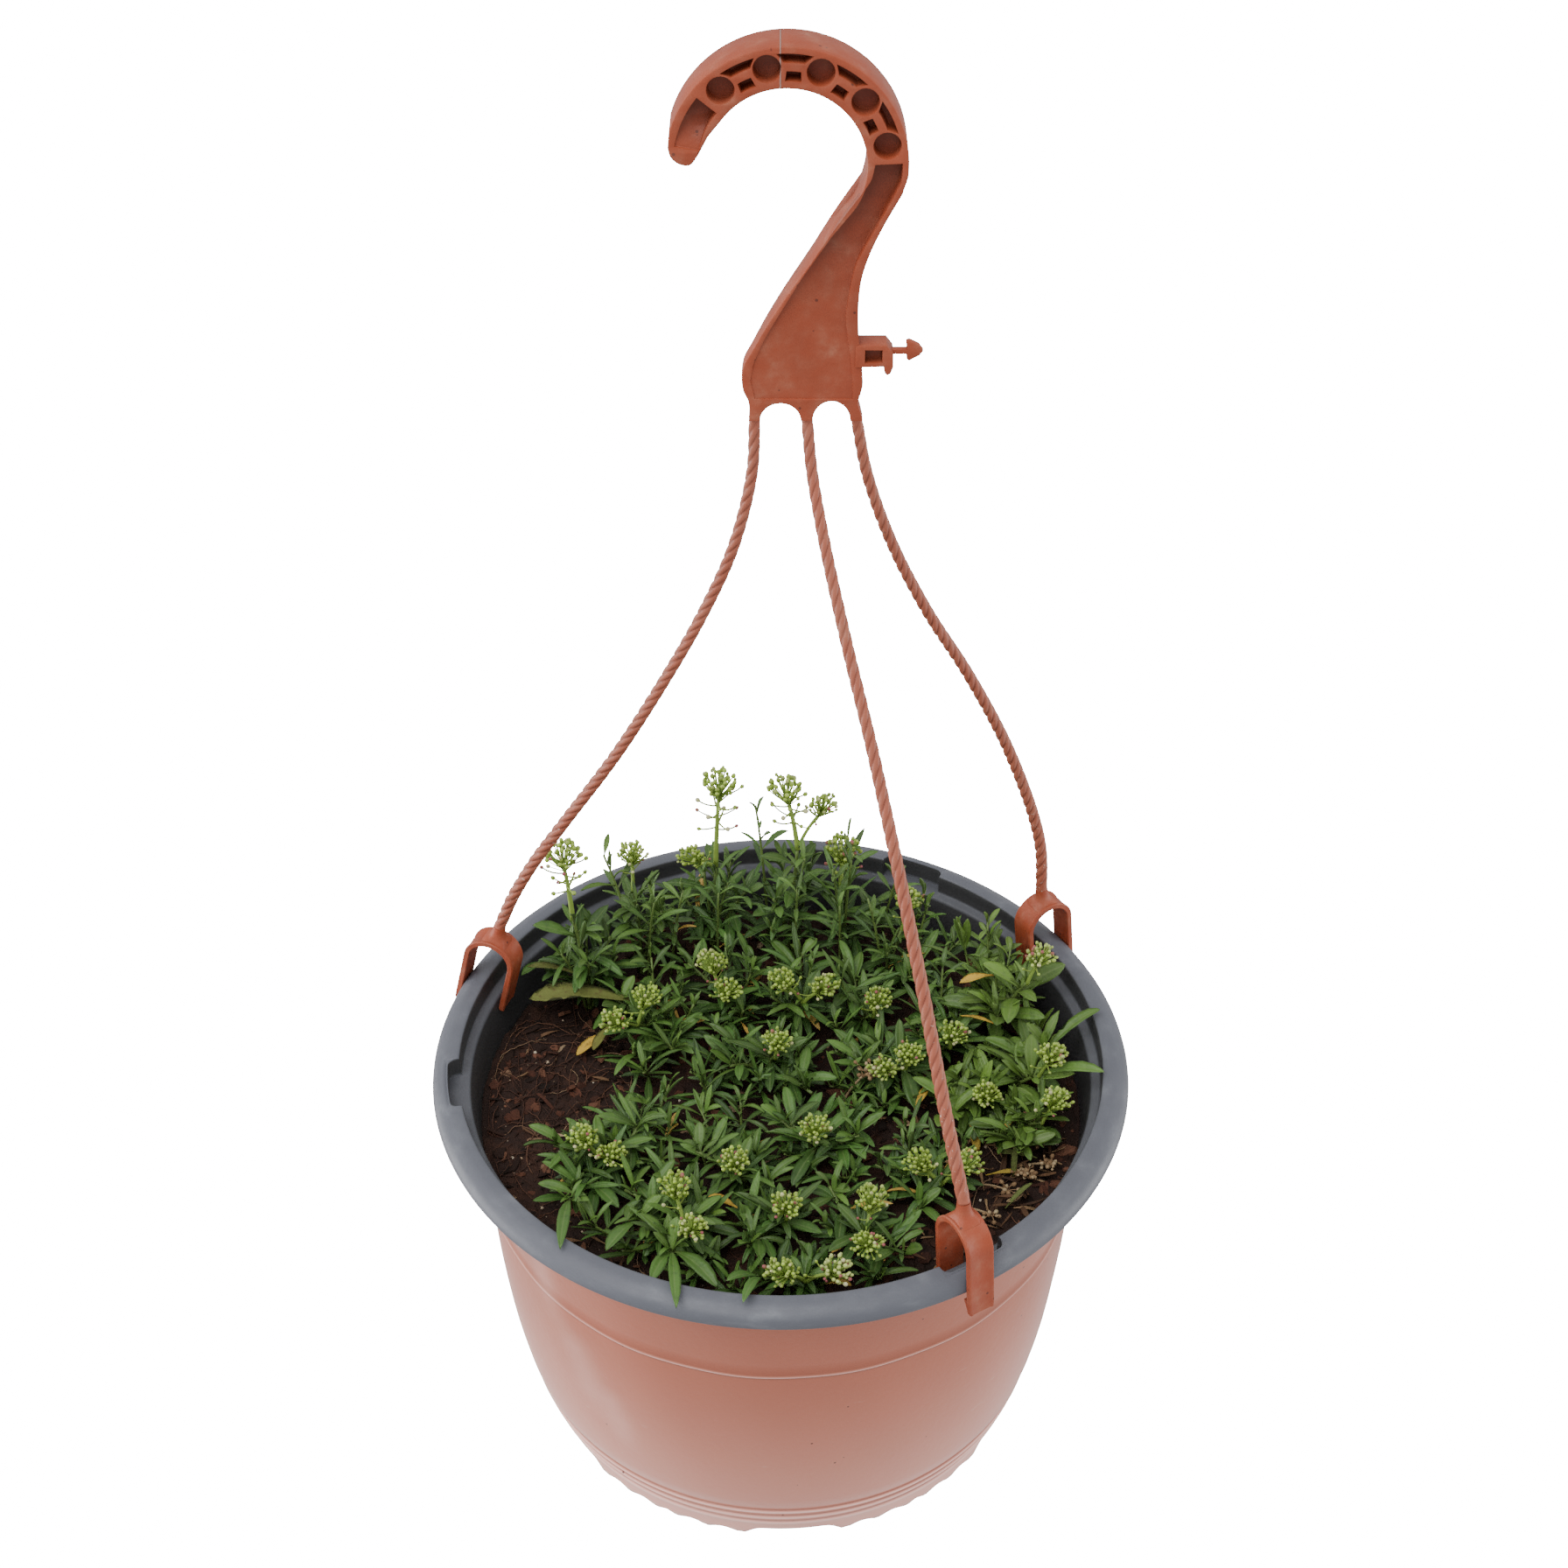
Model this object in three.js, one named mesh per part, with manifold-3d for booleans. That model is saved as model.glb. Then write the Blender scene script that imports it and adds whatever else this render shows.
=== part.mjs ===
// Sweet alyssum in a two-tone plastic hanging pot.
// Millimetres, +Z up, origin at the centre of the pot's base on the surface it can stand on.
// The pot, its potting mix, the hanger (hook, three twisted strands, three rim clips), and the
// plants: a leafy branch and the spray of flower heads on it are one mesh each.

import * as THREE from 'three';
import { mergeVertices } from 'three/addons/utils/BufferGeometryUtils.js';
import Module from 'manifold-3d';

const wasm = await Module();
wasm.setup();

// ---------------------------------------------------------------- driving dimensions

const POT_HEIGHT = 171;          // base to the flat top of the rim
const RIM_RADIUS = 135;          // at the lower edge of the rim's skirt
const SKIRT_DROP = 6.5;          // skirt edge below the rim's top
const FLANGE_INNER = 124.5;      // inner edge of the rim's flat top
const WALL = 1.3;                // wall of the pot
const FLOOR_HEIGHT = 5.5;        // underside of the floor above the feet
const POT_SIDES = 72;
const FIRST_ARCH_SIDE = 55;      // side at the middle of the arch nearest the front
const DRAIN_HOLES = 6;
const DRAIN_RADIUS = 4;
const DRAIN_CIRCLE = 62;
const NOTCH_AZIMUTHS = [-57.5, 63.4, 188.8];
const NOTCH_HALF_ANGLE = 6;
const NOTCH_RADIUS = 128.8;
const NOTCH_DEPTH = 9.6;         // down to the ledge inside the rim

const MIX_DROP = 28;             // top of the potting mix below the rim
const MIX_SIDES = 30;
const GAP = 0.3;                 // between pieces that touch

const HOOK_DEPTH = 16;           // front to back, round the crook
const LEG_DEPTH = 6;             // front to back, at the legs
const TAPER_TOP = 358;           // the depth narrows between these heights above the rim
const TAPER_BOTTOM = 292;
const HOOK_CENTRE = { x: 1.8, z: 362.7 };   // of the crook, height above the rim
const CROOK_OUTER = 36.3;
const CROOK_INNER = 23.9;
const POCKET_DEPTH = 4.9;
const ROUND_POCKETS = [129.5, 101, 71, 41, 12.5];    // angles round the crook
const ROUND_POCKET_RADIUS = 4;
const ROUND_POCKET_CIRCLE = 30.4;
const PIN_BLOCK_DEPTH = 8;
const PIN_ARROW_DEPTH = 2.6;
const PIN_WINDOW_DEPTH = 3;

const LEG_BOTTOM = 275.5;        // where the plate's three legs end, above the rim
const LEG_X = { left: -8.4, front: 8.4, right: 24.2 };

const CLIP_WIDTH = 10.6;
const CLIP_THICKNESS = 2.3;
const CLIP_SPAN = 21.4;          // outside to outside, across the rim
const CLIP_APEX = 20.8;            // outside of the arch above the rim
const CLIP_OUTER_FOOT = -16;
const CLIP_INNER_FOOT = -12.5;
const BARB_TOP = -10.5;
const BARB_REACH = 2;
const NECK_SIDE = 5;
const NECK_LENGTH = 6.5;

const STRAND_TOP_RADIUS = 1.9;
const STRAND_FOOT_RADIUS = 2.4;
const STRAND_STEPS = 32;
const STRAND_TURNS = 3;

const STEM_RADIUS = 1.2;
const STEM_HOLE_DEPTH = 9;
const LEAF_KEEL = 0.95;          // thickness of a blade along its midrib
const LEAF_ROOT_KEEL = 0.3;      // share of it inside the stem
const GOLDEN_ANGLE = 137.5;
const STALK_GAP = 0.9;           // from a branch's tip to the stalk that carries on from it

const RIM = POT_HEIGHT;
const MIX_TOP = POT_HEIGHT - MIX_DROP;

// Each clip: where it sits round the rim, how far its top leans in, how far the strand lifts it.
const CLIPS = {
  front: { azimuth: -59, lean: 6, lift: 0 },
  left: { azimuth: 160, lean: 14, lift: 3 },
  right: { azimuth: 31, lean: 7, lift: 2 },
};

// Each strand's sway: share of the way down, share of the way out.
const STRAND_SWAY = {
  front: [[0, 0], [0.07, 0.03], [0.16, 0.107], [0.28, 0.241], [0.4, 0.391], [0.5, 0.502],
    [0.6, 0.607], [0.72, 0.728], [0.88, 0.876], [1, 1]],
  left: [[0, 0], [0.08, 0.009], [0.2, 0.071], [0.32, 0.178], [0.45, 0.32], [0.6, 0.501],
    [0.75, 0.706], [0.85, 0.842], [0.93, 0.935], [1, 1]],
  right: [[0, 0], [0.09, 0.05], [0.21, 0.159], [0.35, 0.329], [0.5, 0.544], [0.67, 0.758],
    [0.84, 0.926], [0.92, 0.98], [1, 1]],
};

// Each branch: foot on the mix, tip of the main shoot and tips of the side shoots (x, y, height
// above the mix), leaf length and width, the flower heads as offsets from the main tip, and the tip
// and width of each large leaf.
const BRANCHES = [
  { foot: [-79, 54], tip: [-84, 58, 45], side: [[-98, 62, 20], [-70, 66, 28]], leaf: [20, 5],
    heads: [[-3, 3, 30]], large: [[-106, 52, 19, 5]] },
  { foot: [-58, 74], tip: [-61, 82, 40], side: [[-49, 78, 32]], leaf: [18, 4.2],
    heads: [[0, 4, 16]] },
  { foot: [-28, 86], tip: [-27, 92, 45], side: [[-14, 86, 36], [-42, 96, 26]], leaf: [18, 4.4],
    heads: [[2, 5, 38], [-10, -3, 6]] },
  { foot: [4, 86], tip: [7, 92, 54], side: [[-3, 78, 38]], leaf: [17, 4.4],
    heads: [[-5, 6, 26], [11, 4, 19]] },
  { foot: [26, 82], tip: [25, 92, 34], side: [[38, 90, 22]], leaf: [18, 4.4],
    heads: [[1, 7, 14]], large: [[37, 74, 24, 4.4]] },
  { foot: [44, 66], tip: [50, 75, 24], side: [[60, 62, 15]], leaf: [18, 4.2],
    heads: [[3, 5, 12]] },
  { foot: [-18, 44], tip: [-24, 37, 20], side: [[-38, 54, 24], [-10, 56, 26]], leaf: [17, 4.4],
    heads: [[-4, 8, 13], [3, -10, 13]] },
  { foot: [-50, 32], tip: [-57, 22, 20], side: [[-42, 10, 16], [-66, 38, 18]], leaf: [18, 4.6],
    heads: [[4, 3, 12], [-9, -7, 8]], large: [[-102, 50, 7, 9], [-76, 30, 9, 5.5]] },
  { foot: [8, 42], tip: [9, 33, 22], side: [[8, 58, 26]], leaf: [17, 4.4],
    heads: [[-9, -3, 14], [9, -3, 11]] },
  { foot: [31, 38], tip: [37, 29, 18], side: [[30, 52, 20]], leaf: [18, 4.4],
    heads: [[2, -2, 10]] },
  { foot: [-6, 12], tip: [-2, 2, 21], side: [[-20, 0, 18], [12, -14, 17]], leaf: [18, 4.4],
    heads: [[1, -4, 12]] },
  { foot: [44, 8], tip: [49, 1, 16], side: [[30, 4, 15]], leaf: [18, 4.4],
    heads: [[1, -4, 11], [-10, -10, 9]], large: [[53, -16, 9, 7.5]] },
  { foot: [64, 22], tip: [67, 12, 17], side: [[70, 34, 18]], leaf: [18, 4.6],
    heads: [[1, -4, 11]] },
  { foot: [88, 36], tip: [98, 31, 34], side: [[82, 50, 22], [86, 22, 24]], leaf: [20, 6.2],
    heads: [[5, 0, 14]], large: [[63, 33, 22, 6.5]] },
  { foot: [90, 0], tip: [100, -8, 20], side: [[106, 8, 20]], leaf: [19, 6.4],
    heads: [[5, -2, 13]], large: [[124, -17, 31, 5], [126, 18, 31.5, 5]] },
  { foot: [90, -22], tip: [100, -28, 15], side: [[92, -42, 12]], leaf: [18, 6],
    heads: [[5, -1, 13]] },
  { foot: [76, -6], tip: [79, -15, 12], side: [[64, -22, 10]], leaf: [18, 6],
    heads: [[0, -4, 9]] },
  { foot: [-62, -40], tip: [-69, -47, 17], side: [[-86, -40, 15], [-52, -30, 19], [-80, -72, 16]],
    leaf: [18, 4.4], heads: [[-5, -2, 11], [6, -7, 7]], large: [[-78, -106, 30, 4.6]] },
  { foot: [-34, -72], tip: [-35, -83, 18], side: [[-54, -78, 15], [-58, -62, 14], [-40, -98, 18]],
    leaf: [18, 4.6], heads: [[-4, 7, 13], [4, -14, 13]],
    large: [[-36, -133, 30, 4.6], [-22, -115, 20, 6], [-63, -96, 18, 6], [-46, -114, 22, 5]] },
  { foot: [-14, -50], tip: [-17, -57, 17], side: [[-32, -46, 18]], leaf: [17, 4.4],
    heads: [[0, -4, 11]] },
  { foot: [14, -36], tip: [13, -43, 19], side: [[0, -30, 18], [30, -34, 14]], leaf: [18, 4.6],
    heads: [[0, -4, 12]], large: [[-8, -24, 15, 7]] },
  { foot: [-2, -72], tip: [2, -79, 17], side: [[-12, -90, 14]], leaf: [18, 4.4],
    heads: [[0, -4, 11]] },
  { foot: [28, -78], tip: [31, -88, 17], side: [[18, -62, 16], [46, -90, 10]], leaf: [17, 4.2],
    heads: [[2, 9, 11], [0, -15, 12]] },
  { foot: [58, -48], tip: [60, -57, 12], side: [[50, -70, 9]], leaf: [17, 4.2],
    heads: [[-9, 0, 11], [10, 0, 11]] },
  { foot: [8, -98], tip: [9, -106, 14], side: [[-8, -102, 10]], leaf: [16, 4.4],
    heads: [[-9, -7, 12], [11, -6, 12]], large: [[-13, -133, 33, 4], [-19, -116, 25, 5]] },
];

const LEAVES_ON_TIP = 7;
const LEAVES_ON_SIDE = 5;
const HEAD_RADIUS = 6.6;         // from a head's middle to the tips of its buds
const HEAD_CORE = 4;             // to the hollows between them
const HEAD_FLATNESS = 0.8;
const LARGE_LEAF_RISE = 0.14;    // of a large leaf's middle above the line from root to tip, by length

// ---------------------------------------------------------------- colours and finishes

const plastic = (color) => new THREE.MeshStandardMaterial({ color, roughness: 0.55, metalness: 0 });
const terracotta = plastic(0xa5675a);
const hangerRed = plastic(0xa4553c);
const mixBrown = new THREE.MeshStandardMaterial({ color: 0x3b2119, roughness: 1, metalness: 0 });
const leafGreen = new THREE.MeshStandardMaterial({ color: 0x47743a, roughness: 0.6, metalness: 0 });
const budGreen = new THREE.MeshStandardMaterial({ color: 0x8fae52, roughness: 0.7, metalness: 0 });

// ---------------------------------------------------------------- helpers

const radians = THREE.MathUtils.degToRad;

// A repeatable draw of numbers from 0 to 1.
class Draw {
  constructor(seed) {
    this.state = Math.imul(seed, 0x9e3779b1) >>> 0;
  }

  next() {
    this.state = (this.state + 0x6d2b79f5) >>> 0;
    let t = this.state;
    t = Math.imul(t ^ (t >>> 15), t | 1);
    t ^= t + Math.imul(t ^ (t >>> 7), t | 61);
    return ((t ^ (t >>> 14)) >>> 0) / 4294967296;
  }

  between(low, high) {
    return low + (high - low) * this.next();
  }
}

function triangleVolume(p, a, b, c) {
  const ax = p.getX(a), ay = p.getY(a), az = p.getZ(a);
  const bx = p.getX(b), by = p.getY(b), bz = p.getZ(b);
  const cx = p.getX(c), cy = p.getY(c), cz = p.getZ(c);
  return ax * (by * cz - bz * cy) + ay * (bz * cx - bx * cz) + az * (bx * cy - by * cx);
}

// A closed geometry as a solid, with its faces turned outwards.
function toSolid(geometry) {
  const bare = geometry.clone();
  bare.deleteAttribute('normal');
  bare.deleteAttribute('uv');
  const merged = mergeVertices(bare, 1e-4);
  const position = merged.getAttribute('position');
  const index = merged.getIndex().array;
  const triangles = [];
  let volume = 0;
  for (let i = 0; i < index.length; i += 3) {
    const [a, b, c] = [index[i], index[i + 1], index[i + 2]];
    if (a === b || b === c || c === a) continue;
    triangles.push(a, b, c);
    volume += triangleVolume(position, a, b, c);
  }
  if (volume < 0) {
    for (let i = 0; i < triangles.length; i += 3) {
      [triangles[i + 1], triangles[i + 2]] = [triangles[i + 2], triangles[i + 1]];
    }
  }
  const vertProperties = new Float32Array(position.array);
  const triVerts = new Uint32Array(triangles);
  return new wasm.Manifold(new wasm.Mesh({ numProp: 3, vertProperties, triVerts }));
}

// Triangles from a list of corners, or from corners and an index.
function fromVertices(vertices, index) {
  const geometry = new THREE.BufferGeometry();
  const flat = new Float32Array(vertices.flatMap((v) => [v.x, v.y, v.z]));
  geometry.setAttribute('position', new THREE.BufferAttribute(flat, 3));
  if (index) geometry.setIndex(index);
  return geometry;
}

function toGeometry(solid) {
  const mesh = solid.getMesh();
  const geometry = new THREE.BufferGeometry();
  geometry.setAttribute('position', new THREE.BufferAttribute(mesh.vertProperties, 3));
  geometry.setIndex(new THREE.BufferAttribute(mesh.triVerts, 1));
  geometry.computeVertexNormals();
  return geometry;
}

function joined(solids) {
  return solids.reduce((whole, solid) => whole.add(solid));
}

function cut(solid, cutters) {
  return cutters.reduce((rest, cutter) => rest.subtract(cutter), solid);
}

// A solid of revolution about Z from [radius, height] points.
function turned(points, sides) {
  const profile = points.map(([r, z]) => new THREE.Vector2(r, z));
  const geometry = new THREE.LatheGeometry(profile, sides);
  geometry.rotateX(Math.PI / 2);
  return geometry;
}

// A prism from an outline of [x, z] points, between two depths along Y.
function slab(outline, front, back) {
  const shape = new THREE.Shape(outline.map(([x, z]) => new THREE.Vector2(x, z)));
  const geometry = new THREE.ExtrudeGeometry(shape, { depth: back - front, bevelEnabled: false });
  geometry.rotateX(Math.PI / 2);
  geometry.translate(0, back, 0);
  return geometry;
}

// Points of an arc, angles in degrees.
function arc(cx, cz, rx, rz, from, to, count) {
  const points = [];
  for (let i = 0; i <= count; i += 1) {
    const angle = radians(from + ((to - from) * i) / count);
    points.push([cx + rx * Math.cos(angle), cz + rz * Math.sin(angle)]);
  }
  return points;
}

// Points of a smooth line through a few [x, z] points.
function smooth(through, count) {
  const curve = new THREE.SplineCurve(through.map(([x, z]) => new THREE.Vector2(x, z)));
  return curve.getPoints(count).map((p) => [p.x, p.y]);
}

// A sector of a ring round Z, as a solid.
function ringSector(inner, outer, low, high, azimuth, halfAngle) {
  const outline = [
    ...arc(0, 0, outer, outer, azimuth - halfAngle, azimuth + halfAngle, 4),
    ...arc(0, 0, inner, inner, azimuth + halfAngle, azimuth - halfAngle, 4),
  ];
  const shape = new THREE.Shape(outline.map(([x, y]) => new THREE.Vector2(x, y)));
  const geometry = new THREE.ExtrudeGeometry(shape, { depth: high - low, bevelEnabled: false });
  geometry.translate(0, 0, low);
  return toSolid(geometry);
}

// A bent rod: rings of a section carried along a list of points, closed at both ends.
// radiusAt(i) gives the rod's radius at point i; pinch draws in every other corner, turns twists
// the section on the way, and ends are the directions that its first and last ring face.
function rod(points, sides, radiusAt, { turns = 0, pinch = 1, ends = [] } = {}) {
  const steps = points.length - 1;
  const section = new THREE.Shape();
  for (let k = 0; k < sides; k += 1) {
    const angle = (2 * Math.PI * k) / sides;
    const reach = k % 2 ? pinch : 1;
    const method = k ? 'lineTo' : 'moveTo';
    section[method](reach * Math.cos(angle), reach * Math.sin(angle));
  }
  const geometry = new THREE.ExtrudeGeometry(section, { depth: 1, steps, bevelEnabled: false });
  const position = geometry.getAttribute('position');
  const start = new THREE.Vector3().subVectors(points[1], points[0]).normalize();
  const side = new THREE.Vector3(0, -1, 0).cross(start).normalize();
  const tangents = points.map((p, i) => {
    const before = points[Math.max(i - 1, 0)];
    const after = points[Math.min(i + 1, steps)];
    return new THREE.Vector3().subVectors(after, before).normalize();
  });
  if (ends.length) [tangents[0], tangents[steps]] = ends;
  for (let v = 0; v < position.count; v += 1) {
    const i = Math.round(position.getZ(v) * steps);
    const across = side.clone().addScaledVector(tangents[i], -side.dot(tangents[i])).normalize();
    const up = new THREE.Vector3().crossVectors(tangents[i], across);
    const angle = (2 * Math.PI * turns * i) / steps;
    const x = position.getX(v) * Math.cos(angle) - position.getY(v) * Math.sin(angle);
    const y = position.getX(v) * Math.sin(angle) + position.getY(v) * Math.cos(angle);
    const place = points[i].clone()
      .addScaledVector(across, x * radiusAt(i))
      .addScaledVector(up, y * radiusAt(i));
    position.setXYZ(v, place.x, place.y, place.z);
  }
  return toSolid(geometry);
}

// ---------------------------------------------------------------- pot

// Outside of the wall from the foot ring up to the step under the rim, [radius, height].
const WALL_OUTSIDE = [
  [101.2, 5.5], [106.2, 22], [111.9, 52], [115.5, 86], [117.6, 125], [121.8, 160.5],
];
const STEP_RADIUS = 125.8;

function potProfile() {
  const inside = WALL_OUTSIDE.slice(1).map(([r, z]) => [r - WALL, z]).reverse();
  return [
    [0, FLOOR_HEIGHT],
    [98, FLOOR_HEIGHT],
    [98.4, 0],
    [100.4, 0],
    ...WALL_OUTSIDE,
    [STEP_RADIUS, RIM - 10.4],
    [STEP_RADIUS + 0.6, RIM - 1.8],
    [133.6, RIM - SKIRT_DROP],
    [RIM_RADIUS, RIM - SKIRT_DROP],
    [133.4, RIM - 2],
    [129.6, RIM],
    [FLANGE_INNER, RIM],
    [FLANGE_INNER, RIM - 9.4],
    ...inside,
    [99, FLOOR_HEIGHT + WALL],
    [0, FLOOR_HEIGHT + WALL],
  ];
}

// Height of the foot ring's lower edge, side by side: a wide arch, then three flat feet.
const FOOT_LIFTS = [4.2, 4.2, 0, 0, 1.8, 0, 0, 0, 1.8, 0, 0, 4.2];

function footLift(side) {
  return FOOT_LIFTS[(side - FIRST_ARCH_SIDE + POT_SIDES) % FOOT_LIFTS.length];
}

function makePot() {
  const geometry = turned(potProfile(), POT_SIDES);
  const position = geometry.getAttribute('position');
  for (let v = 0; v < position.count; v += 1) {
    if (Math.abs(position.getZ(v)) > 0.01) continue;
    const angle = Math.atan2(position.getY(v), position.getX(v));
    const side = Math.round((angle / (2 * Math.PI)) * POT_SIDES + POT_SIDES) % POT_SIDES;
    position.setZ(v, footLift(side));
  }
  const bottom = RIM - NOTCH_DEPTH - WALL;
  const pockets = NOTCH_AZIMUTHS.flatMap((azimuth) => [
    ringSector(FLANGE_INNER + 0.4, NOTCH_RADIUS + WALL, bottom, RIM - 0.5,
      azimuth, NOTCH_HALF_ANGLE + 0.6),
    ringSector(FLANGE_INNER - 2, NOTCH_RADIUS, bottom, bottom + WALL + 0.1,
      azimuth, NOTCH_HALF_ANGLE + 0.6),
  ]);
  const notches = NOTCH_AZIMUTHS.map((azimuth) => ringSector(
    FLANGE_INNER - 3, NOTCH_RADIUS, RIM - NOTCH_DEPTH, RIM + 1, azimuth, NOTCH_HALF_ANGLE,
  ));
  const holes = [];
  for (let i = 0; i < DRAIN_HOLES; i += 1) {
    const angle = (2 * Math.PI * i) / DRAIN_HOLES;
    const hole = new THREE.CylinderGeometry(DRAIN_RADIUS, DRAIN_RADIUS, 6, 8);
    hole.rotateX(Math.PI / 2);
    hole.translate(DRAIN_CIRCLE * Math.cos(angle), DRAIN_CIRCLE * Math.sin(angle), FLOOR_HEIGHT);
    holes.push(toSolid(hole));
  }
  return cut(joined([toSolid(geometry), ...pockets]), [...notches, ...holes]);
}

// ---------------------------------------------------------------- potting mix

function makeMix() {
  const wallInside = (z) => {
    const i = Math.max(1, WALL_OUTSIDE.findIndex(([, height]) => height >= z));
    const [r0, z0] = WALL_OUTSIDE[i - 1];
    const [r1, z1] = WALL_OUTSIDE[i];
    return r0 + ((r1 - r0) * (z - z0)) / (z1 - z0) - WALL - GAP - 0.2;
  };
  const bottom = FLOOR_HEIGHT + WALL + GAP;
  const profile = [[0, bottom], [97, bottom]];
  for (const z of [22, 52, 86, 125]) profile.push([wallInside(z), z]);
  profile.push([wallInside(MIX_TOP - 1), MIX_TOP - 1]);
  for (const r of [92, 52]) profile.push([r, MIX_TOP]);
  profile.push([0, MIX_TOP]);
  const geometry = turned(profile, MIX_SIDES);
  const position = geometry.getAttribute('position');
  for (let v = 0; v < position.count; v += 1) {
    if (Math.abs(position.getZ(v) - MIX_TOP) > 0.01) continue;
    position.setZ(v, mixHeight(position.getX(v), position.getY(v)));
  }
  const holes = BRANCHES.map(({ foot: [x, y] }) => {
    const hole = new THREE.CylinderGeometry(STEM_RADIUS + 0.75, STEM_RADIUS + 0.75, 2 * STEM_HOLE_DEPTH, 6);
    hole.rotateX(Math.PI / 2);
    hole.translate(x, y, mixHeight(x, y));
    return toSolid(hole);
  });
  return cut(toSolid(geometry), holes);
}

// The mix lies in low mounds.
function mixHeight(x, y) {
  return MIX_TOP + 0.6 * Math.sin(x / 25 + 0.6) * Math.cos(y / 28) + 0.5 * Math.sin((x - y) / 41);
}

// ---------------------------------------------------------------- hook and plate

function hookOutline() {
  const { x, z } = HOOK_CENTRE;
  return [
    ...arc(-0.1, LEG_BOTTOM, 6.5, 6.2, 180, 0, 6),
    ...arc(16.2, LEG_BOTTOM, 6, 7, 180, 0, 6),
    [26.2, LEG_BOTTOM],
    ...smooth([[25.4, 279], [24.6, 282], [25.3, 285], [26, 288.5], [25.3, 296]], 6),
    ...smooth([[24.4, 304], [24, 315], [24.8, 325.5], [27.3, 334.5], [31, 343.3], [36.4, 354]], 9),
    ...arc(x, z, CROOK_OUTER, CROOK_OUTER, -5, 163, 21),
    ...smooth([[-33.4, 368.6], [-32.7, 365.9], [-31, 364], [-28.7, 363.1], [-26.7, 363.3],
      [-24.5, 366.2], [-21.4, 372]], 9),
    ...arc(x, z, CROOK_INNER, CROOK_INNER, 143, -38, 20),
    ...smooth([[14.8, 340.2], [8.2, 329.8], [1.4, 319.2], [-4.1, 309.9], [-9.3, 299.9],
      [-11.6, 295.5], [-12.4, 290.5], [-11.9, 286]], 12),
    [-10.4, 282.8],
    [-10, 280],
    [-10.2, LEG_BOTTOM],
  ];
}

const PIN_BLOCK = [
  [23.4, 302.5], [33.1, 302.5], [35.3, 299.6], [35.4, 295.1], [34.6, 292.9], [33.6, 292.2],
  [32.7, 292.9], [32.3, 295.2], [23.4, 295],
];
const PIN_WINDOW = [[26.4, 301], [26.4, 296.5], [31.9, 296.7], [31.9, 301]];
const PIN_ARROW = [
  [34, 299.9], [39.5, 299.9], [39.3, 302.4], [40.2, 302.9], [43.3, 301.4], [44.8, 299.4],
  [43.8, 297.9], [40.4, 295.9], [39.6, 296.6], [39.5, 298.3], [34, 298.3],
];

// Sector of the crook between two radii, either side of an angle, by half angles at each radius.
function crookCell(inner, outer, middle, innerHalf, outerHalf, count) {
  const { x, z } = HOOK_CENTRE;
  return [
    ...arc(x, z, outer, outer, middle - outerHalf, middle + outerHalf, count),
    ...arc(x, z, inner, inner, middle + innerHalf, middle - innerHalf, count),
  ];
}

function pocketOutlines() {
  const { x, z } = HOOK_CENTRE;
  const outlines = ROUND_POCKETS.map((angle) => {
    const cx = x + ROUND_POCKET_CIRCLE * Math.cos(radians(angle));
    const cz = z + ROUND_POCKET_CIRCLE * Math.sin(radians(angle));
    return arc(cx, cz, ROUND_POCKET_RADIUS, ROUND_POCKET_RADIUS, 0, 315, 7);
  });
  for (let i = 0; i + 1 < ROUND_POCKETS.length; i += 1) {
    const angle = (ROUND_POCKETS[i] + ROUND_POCKETS[i + 1]) / 2;
    outlines.push(crookCell(31.7, 34.4, angle, 5.9, 9.8, 2));
    outlines.push(crookCell(26.2, 29.2, angle, 5.2, 4.2, 1));
  }
  outlines.push(crookCell(26.4, 33.8, 153, 12, 12, 3));
  outlines.push([
    ...arc(x, z, 34.4, 34.4, 2, -8, 2), [32.8, 351], [27.9, 341], [23.2, 331], [21.2, 321],
    [20.2, 312], [20.9, 306], [21.8, 299.4], [22.6, 291], [-9.2, 291], [-8.6, 296], [-5.4, 304],
    [2.1, 318.1], [9.4, 331.1], [17.2, 343.9], [25, 355.4], [27, 359], [28, 363.5],
  ]);
  return outlines;
}

// What the hook loses at its front or back so that its depth narrows towards the legs.
function taperWedge(side) {
  const [thick, thin] = [HOOK_DEPTH / 2, LEG_DEPTH / 2];
  const slope = (thick - thin) / (TAPER_TOP - TAPER_BOTTOM);
  const outline = [
    [thick + 1, TAPER_TOP + 1 / slope], [thick + 1, LEG_BOTTOM - 1], [thin, LEG_BOTTOM - 1],
    [thin, TAPER_BOTTOM],
  ];
  const wedge = new THREE.Shape(outline.map(([y, z]) => new THREE.Vector2(side * y, z)));
  const geometry = new THREE.ExtrudeGeometry(wedge, { depth: 60, bevelEnabled: false });
  geometry.rotateX(Math.PI / 2);
  geometry.rotateZ(Math.PI / 2);
  geometry.translate(-20, 0, 0);
  return toSolid(geometry);
}

function makePin() {
  const half = PIN_BLOCK_DEPTH / 2;
  const windows = [
    slab(PIN_WINDOW, -half - 1, -half + PIN_WINDOW_DEPTH),
    slab(PIN_WINDOW, half - PIN_WINDOW_DEPTH, half + 1),
  ];
  const block = cut(toSolid(slab(PIN_BLOCK, -half, half)), windows.map(toSolid));
  return block.add(toSolid(slab(PIN_ARROW, -PIN_ARROW_DEPTH / 2, PIN_ARROW_DEPTH / 2)));
}

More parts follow.
